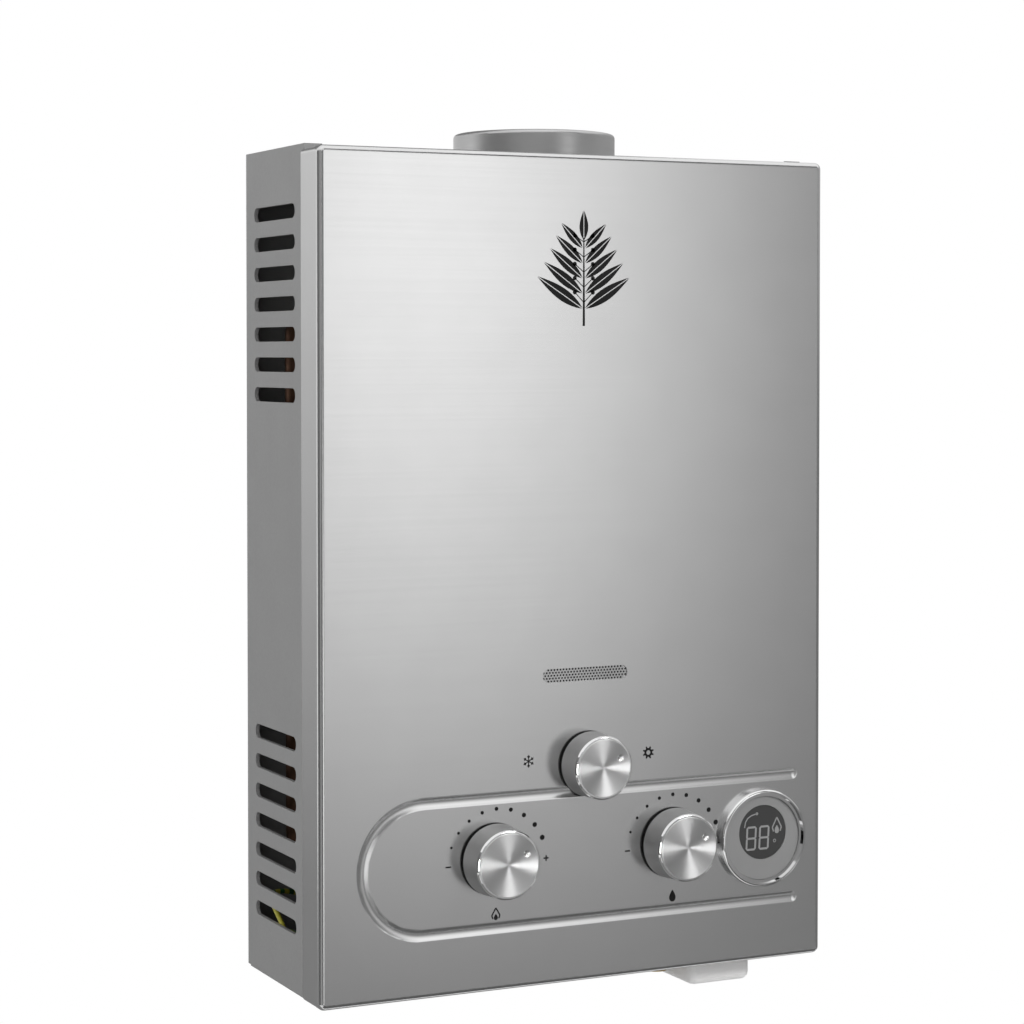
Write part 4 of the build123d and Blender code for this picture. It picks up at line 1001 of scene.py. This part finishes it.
threaded_stub("cold_inlet", "cold_inlet", "brass")
threaded_stub("gas_inlet", "gas_inlet", "brass")
threaded_stub("outlet_pipe", "hot_outlet", "copper")


# Gas spring


def spring_coil(node):
    """A coil along X that fills the node's space."""
    low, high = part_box(node)
    middle = (low + high) / 2
    coil = (high.z - low.z) / 2 - coil_wire
    length = high.x - low.x - 2 * coil_wire
    steps = coil_steps_a_turn * coil_turns
    data = bmesh.new()
    rings = []
    for i in range(steps + 1):
        share = i / steps
        angle = tau * coil_turns * share
        outward = Vector((0.0, cos(angle), sin(angle)))
        point = Vector((low.x + coil_wire + length * share, middle.y, middle.z)) + outward * coil
        rings.append([
            data.verts.new(point + (outward * c + Vector((s, 0, 0))) * coil_wire)
            for c, s in unit_circle(coil_sides)
        ])
    join_rings(data, rings)
    piece = add_piece("gas_spring_coil", data, "casing", "bright_steel", coil_smooth)
    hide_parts(node)
    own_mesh(piece)


spring_coil("gas_spring")


# Stage


def place_round(thing, azimuth, elevation, distance):
    """Put a thing round the heater and turn it to face it; azimuth 0 is the front and grows to the right."""
    a, e = radians(azimuth), radians(elevation)
    way = Vector((sin(a) * cos(e), -cos(a) * cos(e), sin(e)))
    thing.location = aim + way * distance
    thing.rotation_euler = way.to_track_quat("Z", "Y").to_euler()


def softbox(name, azimuth, elevation, distance, size, power):
    """An area light on the heater that no reflection shows."""
    light = bpy.data.lights.new(name, "AREA")
    light.shape = "RECTANGLE"
    light.size, light.size_y = size
    light.energy = power
    lamp = bpy.data.objects.new(name, light)
    place_round(lamp, azimuth, elevation, distance)
    lamp.visible_glossy = False
    lamp.visible_camera = False
    bpy.context.scene.collection.objects.link(lamp)


def card(name, azimuth, elevation, distance, size, tone_at, only=None):
    """A card that only reflections see, in every piece or in those of one collection.

    tone_at gives its tone, from metres across and up from its middle.
    """
    data = bmesh.new()
    bmesh.ops.create_grid(data, x_segments=card_grid, y_segments=card_grid, size=0.5)
    mesh = bpy.data.meshes.new(name)
    data.to_mesh(mesh)
    data.free()
    tones = mesh.attributes.new("tone", "FLOAT", "POINT")
    for vert, tone in zip(mesh.vertices, tones.data):
        vert.co.x *= size[0]
        vert.co.y *= size[1]
        tone.value = tone_at(vert.co.x, vert.co.y)
    material, nodes, links, shader = start_material(name)
    nodes.remove(shader)
    tone_node = nodes.new("ShaderNodeAttribute")
    tone_node.attribute_name = "tone"
    glow = nodes.new("ShaderNodeEmission")
    links.new(tone_node.outputs["Fac"], glow.inputs["Strength"])
    links.new(glow.outputs["Emission"], nodes["Material Output"].inputs["Surface"])
    mesh.materials.append(material)
    panel = bpy.data.objects.new(name, mesh)
    place_round(panel, azimuth, elevation, distance)
    panel.visible_camera = False
    panel.visible_diffuse = False
    panel.visible_transmission = False
    panel.visible_shadow = False
    panel.light_linking.receiver_collection = only
    bpy.context.scene.collection.objects.link(panel)


def seen_rays(nodes, links):
    """1 for camera, mirror and glass rays and 0 for the light that falls on surfaces."""
    path = nodes.new("ShaderNodeLightPath")
    either = nodes.new("ShaderNodeMath")
    either.operation = "MAXIMUM"
    links.new(path.outputs["Is Camera Ray"], either.inputs[0])
    links.new(path.outputs["Is Glossy Ray"], either.inputs[1])
    total = nodes.new("ShaderNodeMath")
    total.operation = "MAXIMUM"
    links.new(either.outputs["Value"], total.inputs[0])
    links.new(path.outputs["Is Transmission Ray"], total.inputs[1])
    return total.outputs["Value"]


def white_world():
    """White to look at, and a softer light on surfaces."""
    world = bpy.data.worlds.new("studio")
    world.use_nodes = True
    nodes, links = world.node_tree.nodes, world.node_tree.links
    soft = nodes["Background"]
    soft.inputs["Color"].default_value = (1.0, 1.0, 1.0, 1.0)
    soft.inputs["Strength"].default_value = ambient
    seen = nodes.new("ShaderNodeBackground")
    seen.inputs["Strength"].default_value = 1.0
    seen.inputs["Color"].default_value = (1.0, 1.0, 1.0, 1.0)
    mix = nodes.new("ShaderNodeMixShader")
    links.new(seen_rays(nodes, links), mix.inputs["Fac"])
    links.new(soft.outputs["Background"], mix.inputs[1])
    links.new(seen.outputs["Background"], mix.inputs[2])
    links.new(mix.outputs["Shader"], nodes["World Output"].inputs["Surface"])
    bpy.context.scene.world = world


def pale_floor():
    """White to look at, and a pale matt surface for light."""
    data = bmesh.new()
    bmesh.ops.create_grid(data, x_segments=1, y_segments=1, size=floor_size / 2)
    mesh = bpy.data.meshes.new("floor")
    data.to_mesh(mesh)
    data.free()
    material, nodes, links, shader = start_material("floor_paint")
    shader.inputs["Base Color"].default_value = (floor_albedo, floor_albedo, floor_albedo, 1.0)
    shader.inputs["Roughness"].default_value = floor_rough
    glow = nodes.new("ShaderNodeEmission")
    mix = nodes.new("ShaderNodeMixShader")
    links.new(seen_rays(nodes, links), mix.inputs["Fac"])
    links.new(shader.outputs["BSDF"], mix.inputs[1])
    links.new(glow.outputs["Emission"], mix.inputs[2])
    links.new(mix.outputs["Shader"], nodes["Material Output"].inputs["Surface"])
    mesh.materials.append(material)
    ground = bpy.data.objects.new("floor", mesh)
    ground.location.z = -floor_drop
    bpy.context.scene.collection.objects.link(ground)


white_world()
pale_floor()
softbox("key_light", *key_place, key_size, 32)
softbox("left_light", -75, 15, 2.4, lamp_size, 16)
softbox("right_light", 80, 20, 2.4, lamp_size, 10)
softbox("top_light", 0, 80, 2.4, lamp_size, 10)
softbox("back_light", 180, 30, 2.6, lamp_size, 12)


# Reflection cards


def ease(low, high, value):
    """0 below low, 1 above high and a smooth rise between them."""
    share = min(1.0, max(0.0, (value - low) / (high - low)))
    return share * share * (3.0 - 2.0 * share)


def even(tone):
    """The same tone all over a card."""
    return lambda across, up: tone


def rising(middle, slope):
    """A tone that grows up a card."""
    return lambda across, up: middle + slope * up


def front_tone(across, up):
    """A tall soft window, brightest high on the left, on a dark surround with a paler far corner."""
    window = ease(*window_left, across) * (1.0 - ease(*window_right, across))
    height = ease(*window_foot, up) * (1.0 - window_head_loss * ease(*window_head, up))
    corner = corner_tone * ease(*corner_left, across) * ease(*corner_foot, up)
    return front_surround + window_tone * window * height + corner


def side_tone(across, up):
    """A soft patch that fades to the surround at its edges."""
    return patch_surround + patch_tone * ease(*patch_across, -abs(across)) * ease(*patch_up, -abs(up))


def right_tone(across, up):
    """Dark below and paler above."""
    return right_low + right_rise * ease(*right_fade, up)


knob_fronts = bpy.data.collections.new("knob_fronts")
for knob in knobs:
    for part in ("spun_cap", "pointer_cup", "bevel_ring"):
        knob_fronts.objects.link(bpy.data.objects[f"{knob}_{part}"])

card("front_card", 27, -5, 3.2, (6.4, 3.8), front_tone)
card("low_card", 27, -58, 1.6, (2.6, 1.6), even(0.12))
card("high_card", 20, 66, 2.2, (3.2, 1.6), even(1.1))
card("low_left_card", -10, -10, 2.6, (1.9, 1.2), side_tone)
card("knob_key_card", *key_place, key_size, even(7.0), only=knob_fronts)
card("knob_side_card", -25, -10, 2.4, (0.75, 0.75), even(12.0), only=knob_fronts)
card("right_card", 118, 0, 2.2, (5.0, 3.0), right_tone)
card("rear_high_card", -170, 45, 2.4, (3.4, 2.2), even(0.22))
card("under_card", 207, -55, 1.1, (3.0, 1.6), even(0.25))
card("camera_card", -42, 0, 3.0, (2.4, 3.0), even(0.35))
card("left_card", -85, 0, 2.6, (2.4, 2.4), rising(0.15, 0.05))
card("rear_left_card", -155, 0, 2.6, (1.8, 2.6), rising(0.54, 0.42))


# Camera and view


def add_camera():
    data = bpy.data.cameras.new("camera")
    data.lens = camera_lens
    data.shift_x, data.shift_y = camera_shift
    data.clip_start = camera_near
    camera = bpy.data.objects.new("camera", data)
    forward = camera_heading * cos(camera_pitch) - Vector((0, 0, 1)) * sin(camera_pitch)
    camera.location = camera_place
    camera.rotation_euler = forward.to_track_quat("-Z", "Y").to_euler()
    bpy.context.scene.collection.objects.link(camera)
    bpy.context.scene.camera = camera


add_camera()
bpy.context.scene.view_settings.view_transform = "Standard"
